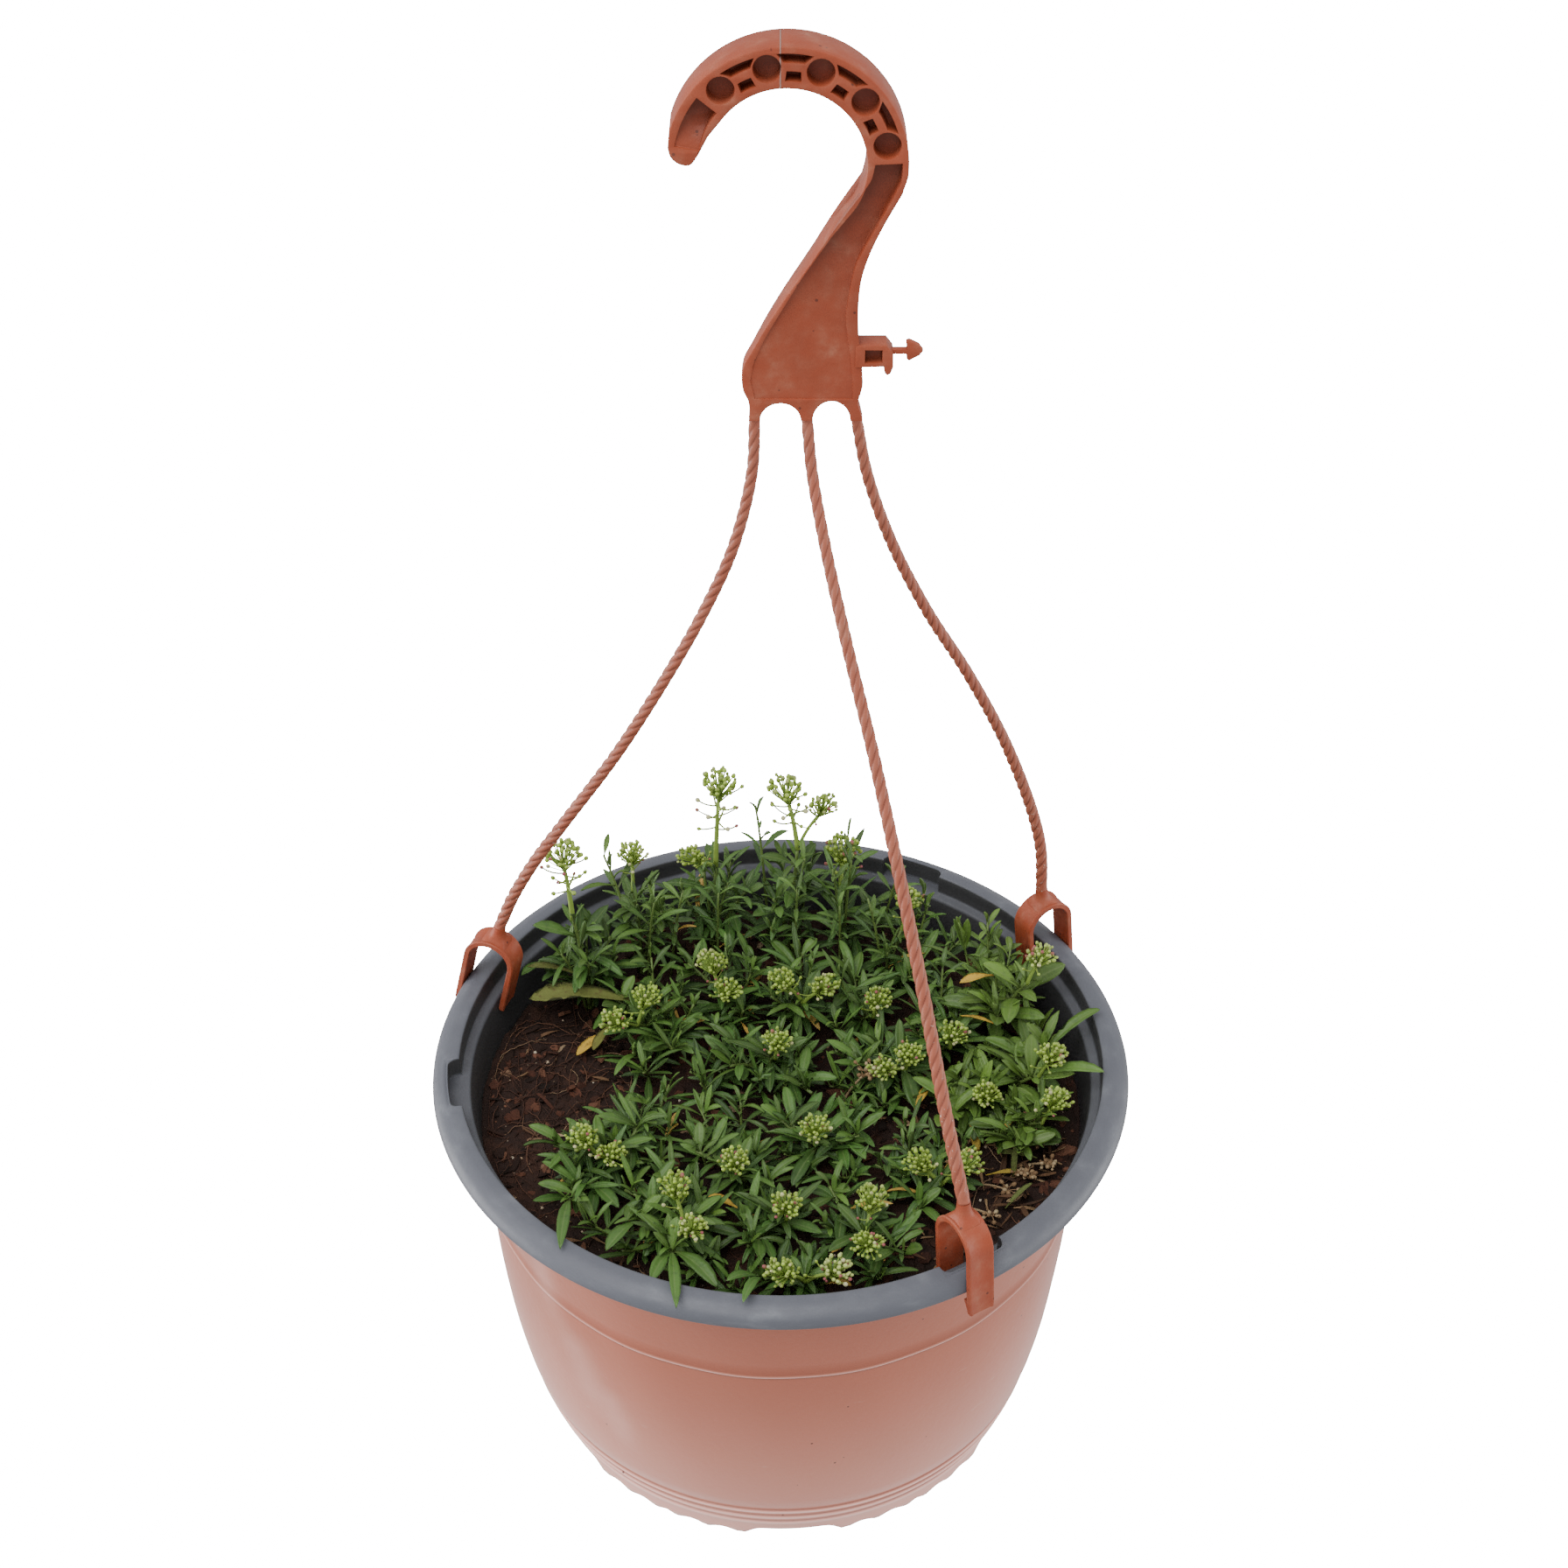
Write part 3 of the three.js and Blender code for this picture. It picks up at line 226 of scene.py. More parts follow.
class Finish:
    """A material and the ways to add to it."""

    def __init__(self, name, **fixed):
        self.material = bpy.data.materials.new(name)
        self.material.use_nodes = True
        self.tree = self.material.node_tree
        self.shader = self.tree.nodes["Principled BSDF"]
        self.shaders = [self.shader]
        for socket, amount in fixed.items():
            self.shader.inputs[socket.replace("_", " ")].default_value = amount

    def node(self, kind, settings=None, sockets=None):
        """A node of a kind, with its settings made first and then its sockets set or linked."""
        made = self.tree.nodes.new(kind)
        for name, setting in (settings or {}).items():
            if name == "stops":
                ramp = made.color_ramp.elements
                while len(ramp) < len(setting):
                    ramp.new(0.5)
                for element, (position, colour) in zip(ramp, setting):
                    element.position = position
                    element.color = (*colour, 1.0)
            else:
                setattr(made, name, setting)
        for name, amount in (sockets or {}).items():
            self.feed(made.inputs[name], amount)
        return made

    def feed(self, socket, amount):
        if isinstance(amount, Value):
            self.tree.links.new(amount.socket, socket)
        elif hasattr(socket.default_value, "__len__") and len(socket.default_value) == 4:
            socket.default_value = (*amount[:3], 1.0)
        else:
            socket.default_value = amount

    def value(self, kind, settings=None, sockets=None, output=0):
        return Value(self, self.node(kind, settings, sockets).outputs[output])

    def read(self, name):
        """A value stored on the mesh's points."""
        return self.value("ShaderNodeAttribute", {"attribute_name": name}, output="Fac")

    def place(self, stretch=(1.0, 1.0, 1.0)):
        """Where a spot is on the object, stretched along each axis."""
        spot = self.value("ShaderNodeTexCoord", output="Object")
        return self.value("ShaderNodeVectorMath", {"operation": "MULTIPLY"}, {0: spot, 1: stretch})

    def coordinate(self, axis):
        """How far along an axis of the object a spot is, in metres."""
        return self.value("ShaderNodeSeparateXYZ", {}, {"Vector": self.place()}, axis)

    def grain(self, scale, detail=3.0, stretch=(1.0, 1.0, 1.0), roughness=0.55):
        """Soft noise from 0 to 1, scale in features per metre."""
        sockets = {"Vector": self.place(stretch), "Scale": scale, "Detail": detail,
                   "Roughness": roughness}
        return self.value("ShaderNodeTexNoise", {}, sockets)

    def spots(self, scale, size):
        """1 in small round spots, scale in cells per metre and size in cells."""
        sockets = {"Vector": self.place(), "Scale": scale}
        cells = self.value("ShaderNodeTexVoronoi", {"feature": "F1"}, sockets)
        return 1 - cells.between(size * 0.7, size)

    def blend(self, first, second, share):
        """One colour into another."""
        made = self.node("ShaderNodeMix", {"data_type": "RGBA", "clamp_factor": True})
        for socket, amount in zip((0, 6, 7), (share, first, second)):
            self.feed(made.inputs[socket], amount)
        return Value(self, made.outputs[2])

    def tinted(self, colour, *tints):
        """A colour with others laid over it in turn, each with the share that it takes."""
        for tint, share in tints:
            colour = self.blend(colour, tint, share)
        return colour

    def ramp(self, value, stops):
        return self.value("ShaderNodeValToRGB", {"stops": stops}, {"Fac": value})

    def colour(self, amount):
        self.feed(self.shader.inputs["Base Color"], amount)

    def rough(self, amount):
        self.feed(self.shader.inputs["Roughness"], amount)

    def overlay(self, share, colour, rough, specular):
        """A second shader that takes the first one's place where share is 1."""
        other = self.node("ShaderNodeBsdfPrincipled", {}, {
            "Base Color": colour, "Roughness": rough, "Specular IOR Level": specular})
        both = self.node("ShaderNodeMixShader", {}, {0: share})
        for socket, shader in ((1, self.shader), (2, other)):
            self.tree.links.new(shader.outputs[0], both.inputs[socket])
        self.tree.links.new(both.outputs[0], self.tree.nodes["Material Output"].inputs["Surface"])
        self.shaders.append(other)

    def relief(self, height, depth):
        """Bumps depth metres high where height is 1."""
        bump = self.value("ShaderNodeBump", {}, {"Height": height, "Distance": depth})
        for shader in self.shaders:
            self.feed(shader.inputs["Normal"], bump)


def toned(colour, share):
    """A colour made darker or lighter, no channel over 1."""
    return tuple(min(1, channel * share) for channel in colour)


# -------------------- mesh helpers


class Shape:
    """The points, faces and per-point values of one piece, in millimetres."""

    def __init__(self):
        self.points = []
        self.faces = []
        self.values = {}
        self.count = 0

    def add(self, points, *faces, **values):
        points = np.asarray(points, float)
        self.points.append(points)
        for block in faces:
            self.faces.extend((np.asarray(block) + self.count).tolist())
        for name, amount in values.items():
            spread = np.broadcast_to(np.asarray(amount, float), (len(points),))
            self.values.setdefault(name, []).append((self.count, spread))
        self.count += len(points)

    def piece(self, name, finish, replaced=(), crease=None, weld=0.0):
        """The finished object: its faces turned outwards, riding on the part."""
        mesh = bpy.data.meshes.new(name)
        points = np.concatenate(self.points) * MM
        mesh.from_pydata(points.tolist(), [], self.faces)
        for value, blocks in self.values.items():
            spread = np.zeros(self.count)
            for first, block in blocks:
                spread[first:first + len(block)] = block
            mesh.attributes.new(value, "FLOAT", "POINT").data.foreach_set("value", spread)
        turned = bmesh.new()
        turned.from_mesh(mesh)
        if weld:
            bmesh.ops.remove_doubles(turned, verts=turned.verts, dist=weld * MM)
        bmesh.ops.recalc_face_normals(turned, faces=turned.faces)
        turned.to_mesh(mesh)
        turned.free()
        mesh.polygons.foreach_set("use_smooth", [True] * len(mesh.polygons))
        if crease:
            mesh.set_sharp_from_angle(angle=math.radians(crease))
        mesh.materials.append(finish.material)
        made = bpy.data.objects.new(name, mesh)
        bpy.context.scene.collection.objects.link(made)
        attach(made, "root")
        if replaced:
            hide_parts(*replaced)
        return made


def unit(vectors):
    return vectors / np.maximum(np.linalg.norm(vectors, axis=-1, keepdims=True), 1e-9)


def ring_faces(rings, around):
    """Quads between closed rings of points."""
    ring = np.arange(rings - 1)[:, None] * around
    near = np.arange(around)[None, :]
    far = (near + 1) % around
    quads = np.stack([ring + near, ring + far, ring + far + around, ring + near + around], -1)
    return quads.reshape(-1, 4)


def closed_faces(rings, around):
    """Quads between rings, and a face over the first ring and over the last."""
    end = np.arange(around)
    return [ring_faces(rings, around), end[::-1][None, :], ((rings - 1) * around + end)[None, :]]


def fan_faces(rings, around, tip):
    """Triangles from the last ring to one point."""
    near = (rings - 1) * around + np.arange(around)
    far = (rings - 1) * around + (np.arange(around) + 1) % around
    return np.stack([near, far, np.full(around, tip)], -1)


def carried(path):
    """Two unit vectors across a path at each point, carried along it without a twist."""
    tangent = unit(np.gradient(path, axis=0))
    start = np.array([0.0, -1.0, 0.0]) if abs(tangent[0][1]) < 0.9 else np.array([1.0, 0.0, 0.0])
    across = np.empty_like(path)
    last = start
    for i, along in enumerate(tangent):
        last = last - last.dot(along) * along
        last = last / np.linalg.norm(last)
        across[i] = last
    return across, np.cross(tangent, across)


def tube(path, radii, sides, lobes=None):
    """Rings of points round a path, and the faces of the closed tube."""
    path = np.asarray(path, float)
    across, up = carried(path)
    angle = np.arange(sides) * 2 * math.pi / sides
    reach = np.broadcast_to(np.asarray(radii, float)[:, None], (len(path), sides))
    if lobes is not None:
        reach = reach * lobes(angle[None, :])
    points = (path[:, None, :] + across[:, None, :] * (reach * np.cos(angle))[..., None]
              + up[:, None, :] * (reach * np.sin(angle))[..., None])
    return points.reshape(-1, 3), closed_faces(len(path), sides)


def curve(first, bend, last, shares):
    """Places on a quadratic curve, at shares of it from 0 to 1."""
    t = shares[:, None]
    return (1 - t) ** 2 * first + 2 * t * (1 - t) * bend + t ** 2 * last


def arch(first, bend, last, count):
    """Points at even shares of a quadratic curve."""
    first, bend, last = (np.asarray(p, float) for p in (first, bend, last))
    return curve(first, bend, last, np.linspace(0, 1, count + 1))


def through(points, share):
    """The place on a smooth curve through points, as centripetal Catmull-Rom gives it."""
    points = [np.asarray(p, float) for p in points]
    spot = (len(points) - 1) * share
    i = min(int(spot), len(points) - 2)
    weight = spot - i
    b, c = points[i], points[i + 1]
    a = points[i - 1] if i > 0 else 2 * points[0] - points[1]
    d = points[i + 2] if i + 2 < len(points) else 2 * points[-1] - points[-2]
    spans = [math.sqrt(np.linalg.norm(q - p)) for p, q in ((a, b), (b, c), (c, d))]
    middle = spans[1] if spans[1] > 1e-4 else 1.0
    before = spans[0] if spans[0] > 1e-4 else middle
    after = spans[2] if spans[2] > 1e-4 else middle
    leave = ((b - a) / before - (c - a) / (before + middle) + (c - b) / middle) * middle
    reach = ((c - b) / middle - (d - b) / (middle + after) + (d - c) / after) * middle
    return (b + leave * weight + (3 * (c - b) - 2 * leave - reach) * weight ** 2
            + (2 * (b - c) + leave + reach) * weight ** 3)


def even(points, count):
    """Evenly spaced places along the smooth curve through points."""
    dense = np.array([through(points, s) for s in np.linspace(0, 1, 241)])
    run = np.concatenate([[0], np.cumsum(np.linalg.norm(np.diff(dense, axis=0), axis=1))])
    at = np.linspace(0, run[-1], count + 1)
    return np.stack([np.interp(at, run, dense[:, k]) for k in range(3)], -1)


def bow(cx, cz, rx, rz, start, end, count):
    """Points of an arc, angles in degrees."""
    angle = np.radians(np.linspace(start, end, count + 1))
    return [(cx + rx * math.cos(a), cz + rz * math.sin(a)) for a in angle]


def smooth(knots, count):
    """Points of a smooth line through a few [x, z] points."""
    flat = [(x, 0.0, z) for x, z in knots]
    return [tuple(through(flat, s)[[0, 2]]) for s in np.linspace(0, 1, count + 1)]


def inset(outline, depth):
    """An outline moved inwards by depth, which is negative outwards."""
    points = np.asarray(outline, float)
    before = unit(points - np.roll(points, 1, axis=0))
    after = unit(np.roll(points, -1, axis=0) - points)
    x, z = points[:, 0], points[:, 1]
    area = np.sum(x * np.roll(z, -1) - np.roll(x, -1) * z)
    sign = 1.0 if area > 0 else -1.0
    normal = unit(np.stack([-(before + after)[:, 1], (before + after)[:, 0]], -1)) * sign
    lean = np.clip(np.sum(normal * np.stack([-before[:, 1], before[:, 0]], -1) * sign, -1), 0.5, 1)
    return points + normal * depth / lean[:, None]


def tidy(outline):
    """An outline without points that fall on their neighbours."""
    touching = 0.05
    kept = []
    for x, z in outline:
        if not kept or math.hypot(x - kept[-1][0], z - kept[-1][1]) > touching:
            kept.append((x, z))
    if math.hypot(kept[0][0] - kept[-1][0], kept[0][1] - kept[-1][1]) < touching:
        kept.pop()
    return kept


# -------------------- the solids' seeded rule

WORD = 0xFFFFFFFF
SEED_STEP = 0x9E3779B1
STATE_STEP = 0x6D2B79F5


class Draw:
    """A repeatable draw of numbers from 0 to 1."""

    def __init__(self, seed):
        self.state = (seed * SEED_STEP) & WORD

    def next(self):
        self.state = (self.state + STATE_STEP) & WORD
        t = self.state
        t = ((t ^ (t >> 15)) * (t | 1)) & WORD
        t ^= (t + (t ^ (t >> 7)) * (t | 61)) & WORD
        return (t ^ (t >> 14)) / (WORD + 1)

    def between(self, low, high):
        return low + (high - low) * self.next()


def mix_height(x, y):
    """The mix lies in low mounds."""
    return (MIX_TOP + 0.6 * np.sin(x / 25 + 0.6) * np.cos(y / 28)
            + 0.5 * np.sin((x - y) / 41))


def above_mix(place):
    return np.array([place[0], place[1], MIX_TOP + place[2]], float)


def shoot_points(start, tip, count):
    """A shoot leaves its foot upright and arches over to its tip."""
    bend = start + (tip - start) * np.array([0.3, 0.3, 0.6])
    return arch(start, bend, tip, count)


def branch_shoots(branch, count=3):
    """The main shoot comes out of its hole, and the side shoots leave it just above the mix."""
    (x, y), tip, sides = branch[:3]
    ground = mix_height(x, y)
    foot = np.array([x, y, ground - STEM_HOLE_DEPTH + GAP])
    collar = np.array([x, y, ground + 3.2])
    main = np.concatenate([[foot], shoot_points(collar, above_mix(tip), count)])
    return [main] + [shoot_points(collar, above_mix(side), count) for side in sides]


def head_places(branch):
    return [above_mix(branch[1]) + np.array(offset, float) for offset in branch[4]]


def arc_spine(root, azimuth, pitch, droop, length, stations):
    """The spine of a blade along an arc."""
    spine = [np.asarray(root, float)]
    slope = math.radians(pitch)
    for before, after in zip(stations, stations[1:]):
        step = (after - before) * length
        out, rise = math.cos(slope) * step, math.sin(slope) * step
        turn = math.radians(azimuth)
        spine.append(spine[-1] + [out * math.cos(turn), out * math.sin(turn), rise])
        slope -= math.radians(droop) * (after - before)
    return np.array(spine)


def large_leaves(branch, shoots):
    """Each starts from the point of the branch's shoots that is nearest to its tip."""
    leaves = []
    for x, y, height, width in branch[5]:
        tip = above_mix((x, y, height))
        roots = [through(shoot, along) for shoot in shoots for along in (0.6, 0.75, 0.9)]
        root = min(roots, key=lambda place: np.linalg.norm(place - tip))
        middle = (root + tip) / 2
        middle[2] += np.linalg.norm(root - tip) * 2 * LARGE_LEAF_RISE
        leaves.append({"root": root, "middle": middle, "tip": tip, "width": width})
    return leaves


def beads(points, spacing=2.0):
    """Points every 2 mm or so along a list of points."""
    places = []
    for a, b in zip(points, points[1:]):
        count = max(1, math.ceil(np.linalg.norm(b - a) / spacing))
        places += [a + (b - a) * k / count for k in range(count)]
    return np.array([*places, points[-1]])


class Crowd:
    """Balls that stand for what is already placed."""

    def __init__(self):
        self.at = np.empty((0, 3))
        self.radius = np.empty(0)
        self.owner = np.empty(0, int)

    def claim(self, owner, points, radius):
        points = np.asarray(points, float).reshape(-1, 3)
        self.at = np.concatenate([self.at, points])
        self.radius = np.concatenate([self.radius, np.full(len(points), radius)])
        self.owner = np.concatenate([self.owner, np.full(len(points), owner)])

    def free(self, owner, root, points, radius):
        """Clear of others by the full width, and of the same branch, off the root, by half."""
        apart = np.linalg.norm(points[:, None, :] - self.at[None, :, :], axis=-1)
        room = apart / (self.radius + radius)
        own = self.owner == owner
        near = np.linalg.norm(self.at - root, axis=-1) < 5
        return bool(np.all(np.where(own, (room > 0.5) | near, room > 1)))


def free_of_pot(points, radius):
    """Clear of the mix, the wall and the rim."""
    reach = np.hypot(points[:, 0], points[:, 1]) + radius
    above = points[:, 2] >= mix_height(points[:, 0], points[:, 1]) + LEAF_KEEL + ABOVE_MIX
    over = (points[:, 2] > RIM + LEAF_KEEL + ABOVE_RIM) & (reach < RIM_RADIUS - WITHIN_RIM)
    return bool(np.all(above & ((reach < WITHIN_WALL) | over)))


def clip_outline():
    """Across the rim: out from the rim's skirt edge, height above the rim."""
    outside = CLIP_THICKNESS
    radius = CLIP_SPAN / 2
    middle = outside - radius
    inner = radius - CLIP_THICKNESS
    shoulder = CLIP_APEX - radius
    return [
        (outside, CLIP_OUTER_FOOT),
        *bow(middle, shoulder, radius, radius, 0, 180, 10),
        (outside - CLIP_SPAN, CLIP_INNER_FOOT),
        (outside - CLIP_SPAN + CLIP_THICKNESS, CLIP_INNER_FOOT),
        *bow(middle, shoulder, inner, inner, 180, 0, 8),
        (0, BARB_TOP),
        (-BARB_REACH, BARB_TOP),
        (0, CLIP_OUTER_FOOT),
    ]


def clip_place(name):
    """The inside of a clip's outer leg lies a gap off the skirt's edge."""
    azimuth, lean, lift = CLIPS[name]
    tilt = math.radians(lean)
    radius = RIM_RADIUS + GAP - (SKIRT_DROP + lift) * math.tan(tilt)
    return (Matrix.Rotation(math.radians(azimuth), 4, "Z")
            @ Matrix.Translation((radius, 0, RIM + lift)) @ Matrix.Rotation(-tilt, 4, "Y"))


def moved(matrix, points):
    return np.array([matrix @ Vector(p) for p in points])


def strand_knots(name):
    top = (CLIP_THICKNESS - CLIP_SPAN / 2, 0, CLIP_APEX + NECK_LENGTH + GAP)
    end = np.array(clip_place(name) @ Vector(top))
    start = np.array([LEG_X[name], 0, RIM + LEG_BOTTOM - GAP])
    return [start + (end - start) * np.array([out, out, down]) for down, out in STRAND_SWAY[name]]


def claim_fixed(crowd):
    """What the leaves keep clear of besides the pot: strands, clips, stems and heads."""
    stranger = -1
    for name in CLIPS:
        route = even(strand_knots(name), STRAND_STEPS)
        crowd.claim(stranger, beads(route[-20:]), STRAND_FOOT_RADIUS + 0.4)
        places = moved(clip_place(name), [(out, 0, height) for out, height in clip_outline()])
        crowd.claim(stranger, places, CLIP_WIDTH / 2 + 0.8)
    for number, branch in enumerate(BRANCHES):
        shoots = branch_shoots(branch)
        for shoot in shoots:
            crowd.claim(number, beads(shoot), STEM_RADIUS + 0.35)
        for leaf in large_leaves(branch, shoots):
            spine = curve(leaf["root"], leaf["middle"], leaf["tip"], np.array(LONG_STATIONS))
            crowd.claim(number, beads(spine), leaf["width"] / 2)
        tip = above_mix(branch[1])
        for place in head_places(branch):
            crowd.claim(stranger, [place], HEAD_RADIUS + 0.8)
            crowd.claim(stranger, beads(shoot_points(tip, place, 3))[1:], 1.5)


def place_leaves(crowd, owner, shoot_number, shoot, count, size):
    """Leaves in a spiral up a shoot, longest in the middle, steeper towards the tip."""
    length, width = size
    stations = SHORT_STATIONS if shoot_number else LONG_STATIONS
    leaves = []
    for i in range(count):
        share = i / (count - 1)
        root = through(shoot, 0.5 + 0.43 * share)
        for attempt in range(14):
            draw = Draw(owner * 4096 + shoot_number * 512 + i * 16 + attempt)
            scale = draw.between(0.95, 1.25) * (1 - 0.35 * max(0, share - 0.6) / 0.4)
            leaf = {
                "azimuth": owner * 71 + i * GOLDEN_ANGLE + attempt * 49 + draw.between(-14, 14),
                "pitch": 6 + 40 * share + draw.between(-6, 12) + attempt * 2,
                "droop": draw.between(20, 55),
                "length": length * scale * (0.7 if attempt > 7 else 1),
            }
            spine = arc_spine(root, stations=stations, **leaf)
            half = (width / 2) * draw.between(0.95, 1.2)
            places = beads(spine)
            if not free_of_pot(places[1:], half):
                continue
            if not crowd.free(owner, root, places[1:], half + 0.2):
                continue
            crowd.claim(owner, places, half)
            leaves.append({"root": root, "width": 2 * half, "share": share, **leaf})
            break
    return leaves


# -------------------- settings


class PotSettings(bpy.types.PropertyGroup):
    """The pot's colours and sides."""

    clay: FloatVectorProperty(name="Clay", description="Colour of the outside", subtype="COLOR",
                              default=(0.43, 0.130, 0.078), min=0, max=1)
    grey: FloatVectorProperty(name="Grey", description="Colour of the rim and inside",
                              subtype="COLOR", default=(0.083, 0.087, 0.104), min=0, max=1)
    sides: IntProperty(name="Sides", description="Faces round the pot", default=360, min=72)
    dent: FloatProperty(name="Dent", description="Depth of the wall's soft waves",
                        subtype="DISTANCE", unit="LENGTH", default=0.0004)


class HangerSettings(bpy.types.PropertyGroup):
    """The hanger's colour and the lay of its strands."""

    red: FloatVectorProperty(name="Red", description="Colour of the hanger", subtype="COLOR",
                             default=(0.287, 0.052, 0.0205), min=0, max=1)
    lay: FloatProperty(name="Lay", description="Length of one turn of a strand's four plies",
                       subtype="DISTANCE", unit="LENGTH", default=0.0215)
    groove: FloatProperty(name="Groove", description="Depth between plies, of the radius",
                          subtype="FACTOR", default=0.24, min=0, max=1)


class PlantSettings(bpy.types.PropertyGroup):
    """The plants' colours and fullness."""

    leaf: FloatVectorProperty(name="Leaf", description="Colour of a full-grown leaf",
                              subtype="COLOR", default=(0.040, 0.100, 0.016), min=0, max=1)
    young: FloatVectorProperty(name="Young leaf", description="Colour of a young leaf",
                               subtype="COLOR", default=(0.105, 0.19, 0.026), min=0, max=1)
    bud: FloatVectorProperty(name="Bud", description="Colour of a bud", subtype="COLOR",
                             default=(0.24, 0.35, 0.042), min=0, max=1)
    fullness: IntProperty(name="Fullness", description="More leaves on each shoot", default=13)
    spacing: FloatProperty(name="Spacing", description="Between neighbouring shoots' tips",
                           subtype="DISTANCE", unit="LENGTH", default=0.0102, min=0.004)
    buds: IntProperty(name="Buds", description="Buds in a flower head", default=46)


class MixSettings(bpy.types.PropertyGroup):
    """The potting mix and what lies on it."""

    coir: FloatVectorProperty(name="Coir", description="Colour of the damp coir",
                              subtype="COLOR", default=(0.027, 0.0115, 0.0075), min=0, max=1)
    fibres: IntProperty(name="Fibres", description="Coir fibres", default=300)
    chips: IntProperty(name="Chips", description="Chips of bark and coir", default=2600)
    grains: IntProperty(name="Grains", description="Pale grains", default=90)


class StageSettings(bpy.types.PropertyGroup):
    """The floor, the light and the camera."""

    floor_drop: FloatProperty(name="Floor drop", description="Floor below the pot's feet",
                              subtype="DISTANCE", unit="LENGTH", default=0.25)
    floor: FloatVectorProperty(name="Floor", description="Colour of the floor", subtype="COLOR",
                               default=(0.93, 0.93, 0.93), min=0, max=1)
    glow: FloatProperty(name="Glow", description="Light the floor gives of itself", default=20.0)
    room: FloatProperty(name="Room", description="Brightness of the white room", default=0.85)
    key: FloatProperty(name="Key", description="Power that each lamp gives a share of",
                       unit="POWER", default=50)
    lens: FloatProperty(name="Lens", description="Focal length in millimetres", default=55.45)


# -------------------- pot


def pot_outline():
    """Radius, height, greyness, and shares of painted highlight on ridge crests and of painted
    shade in creases, from under the floor round to its top.
    """
    foot = [(98.0, FLOOR_UNDER), (98.3, 1.2), (98.8, 0.2), (99.4, 0.0), (100.1, 0.2), (100.6, 1.2),
            (100.8, 4.2), (101.0, 6.5), (101.5, 8.6)]
    line = [(r, z, 0, 0, 0) for r, z in ((FLOOR_EDGE, FLOOR_UNDER), *foot)]
    # The three ridges near the foot: a painted highlight along each crest and painted shade in the
    # creases beside it.
    for z, r in ((11.2, 102.2), (17.1, 104.1), (22.5, 105.6)):
        line += [(r - 0.4, z - 1.9, 0, 0, 0.1), (r - 0.4, z - 1.5, 0, 0, 0.8),
                 (r - 0.35, z - 1.0, 0, 0, 1), (r + 0.35, z - 0.7, 0, 0.3, 0.2),
                 (r + 0.75, z - 0.3, 0, 1, 0), (r + 0.85, z + 0.2, 0, 1, 0),
                 (r + 0.6, z + 0.7, 0, 0.3, 0), (r + 0.15, z + 1.0, 0, 0, 0.6),
                 (r + 0.1, z + 1.5, 0, 0, 0.2), (r + 0.1, z + 1.9, 0, 0, 0)]
    wall = [(107.3, 27), (108.7, 33), (110.0, 40), (111.2, 47), (112.4, 55), (113.5, 64),
            (114.6, 75), (115.5, 86), (116.1, 97), (116.55, 108), (116.7, 114.8)]
    line += [(r, z, 0, 0, 0) for r, z in wall]
    # The raised line ring, with a painted highlight on its crest and painted shade in the creases
    # beside it.
    line += [(116.7, 115.8, 0, 0, 0.3), (116.8, 116.4, 0, 0, 0.7), (117.2, 116.7, 0, 0.2, 0),
             (117.4, 117.1, 0, 0.7, 0), (117.3, 117.5, 0, 0.2, 0), (117.0, 118.0, 0, 0, 0.3)]
    upper = [(117.5, 124), (118.5, 136), (119.9, 149), (121.4, 159.2), (121.9, 160.2),
             (125.0, 160.5), (125.8, 161.4), (126.1, 168.6), (127.4, 169.0)]
    line += [(r, z, 0, 0, 0) for r, z in upper]
    rim = [(131.6, 166.6), (133.2, 164.7), (133.6, 164.3), (134.3, 164.1), (134.8, 164.3),
           (135.0, 165.0), (134.85, 165.9), (134.4, 167.2), (133.6, 168.4), (132.5, 169.3),
           (131.0, 170.15), (130.2, 170.5), (129.5, 170.75), (128.55, 170.92), (128.25, 170.95),
           (127.0, 171.0), (125.6, 171.0), (124.9, 170.75), (124.55, 170.1), (124.5, 168.0),
           (124.4, 163.4), (124.2, 162.6), (123.6, 162.2), (121.6, 161.9), (120.9, 161.5),
           (120.5, 160.5)]
    inside = [(118.6, 149), (117.2, 136), (116.2, 124), (115.4, 110), (114.2, 86), (110.6, 52),
              (104.9, 22), (99.5, 8.2), (98, FLOOR_TOP), (FLOOR_EDGE, FLOOR_TOP)]
    return line + [(r, z, 1.0, 0, 0) for r, z in rim + inside]


# The foot ring's arches. Angles are in degrees round the pot.
ARCH_AZIMUTH = -87.1
ARCH_STEP = 60.0
WIDE_ARCH_HEIGHT = 4.2
WIDE_ARCH_FLAT = 7.0
WIDE_ARCH_END = 4.2
SMALL_ARCH_HEIGHT = 2.3
SMALL_ARCH_START = 12.5
SMALL_ARCH_SPAN = 7.4


def foot_lift(azimuth):
    """Height of the foot ring's lower edge: small arches between points, and six wide ones."""
    from_arch = np.abs((azimuth - ARCH_AZIMUTH + ARCH_STEP / 2) % ARCH_STEP - ARCH_STEP / 2)
    into_end = np.clip((from_arch - WIDE_ARCH_FLAT) / WIDE_ARCH_END, 0, 1)
    wide = WIDE_ARCH_HEIGHT * (1 - into_end ** 2)
    small = SMALL_ARCH_HEIGHT * np.abs(
        np.sin((from_arch - SMALL_ARCH_START) / SMALL_ARCH_SPAN * math.pi)) ** 0.8
    return np.where(from_arch < WIDE_ARCH_FLAT + WIDE_ARCH_END, wide, small)


# Painted highlight streaks, standing for reflections in soft dents of the wall.
HIGHLIGHT_STREAKS = (  # azimuth at the top, slant, top, bottom, width
    (223, 12, 112, 56, 4.2), (216, 8, 150, 104, 3.4), (232, 8, 84, 44, 3.2), (96, 8, 132, 66, 4.0),
)
# A notch's rounded end in degrees, and steps over it as shares of it.
NOTCH_END = 1.4
NOTCH_STEPS = (-0.15, 0.0, 0.05, 0.18, 0.42, 0.7, 1.0)
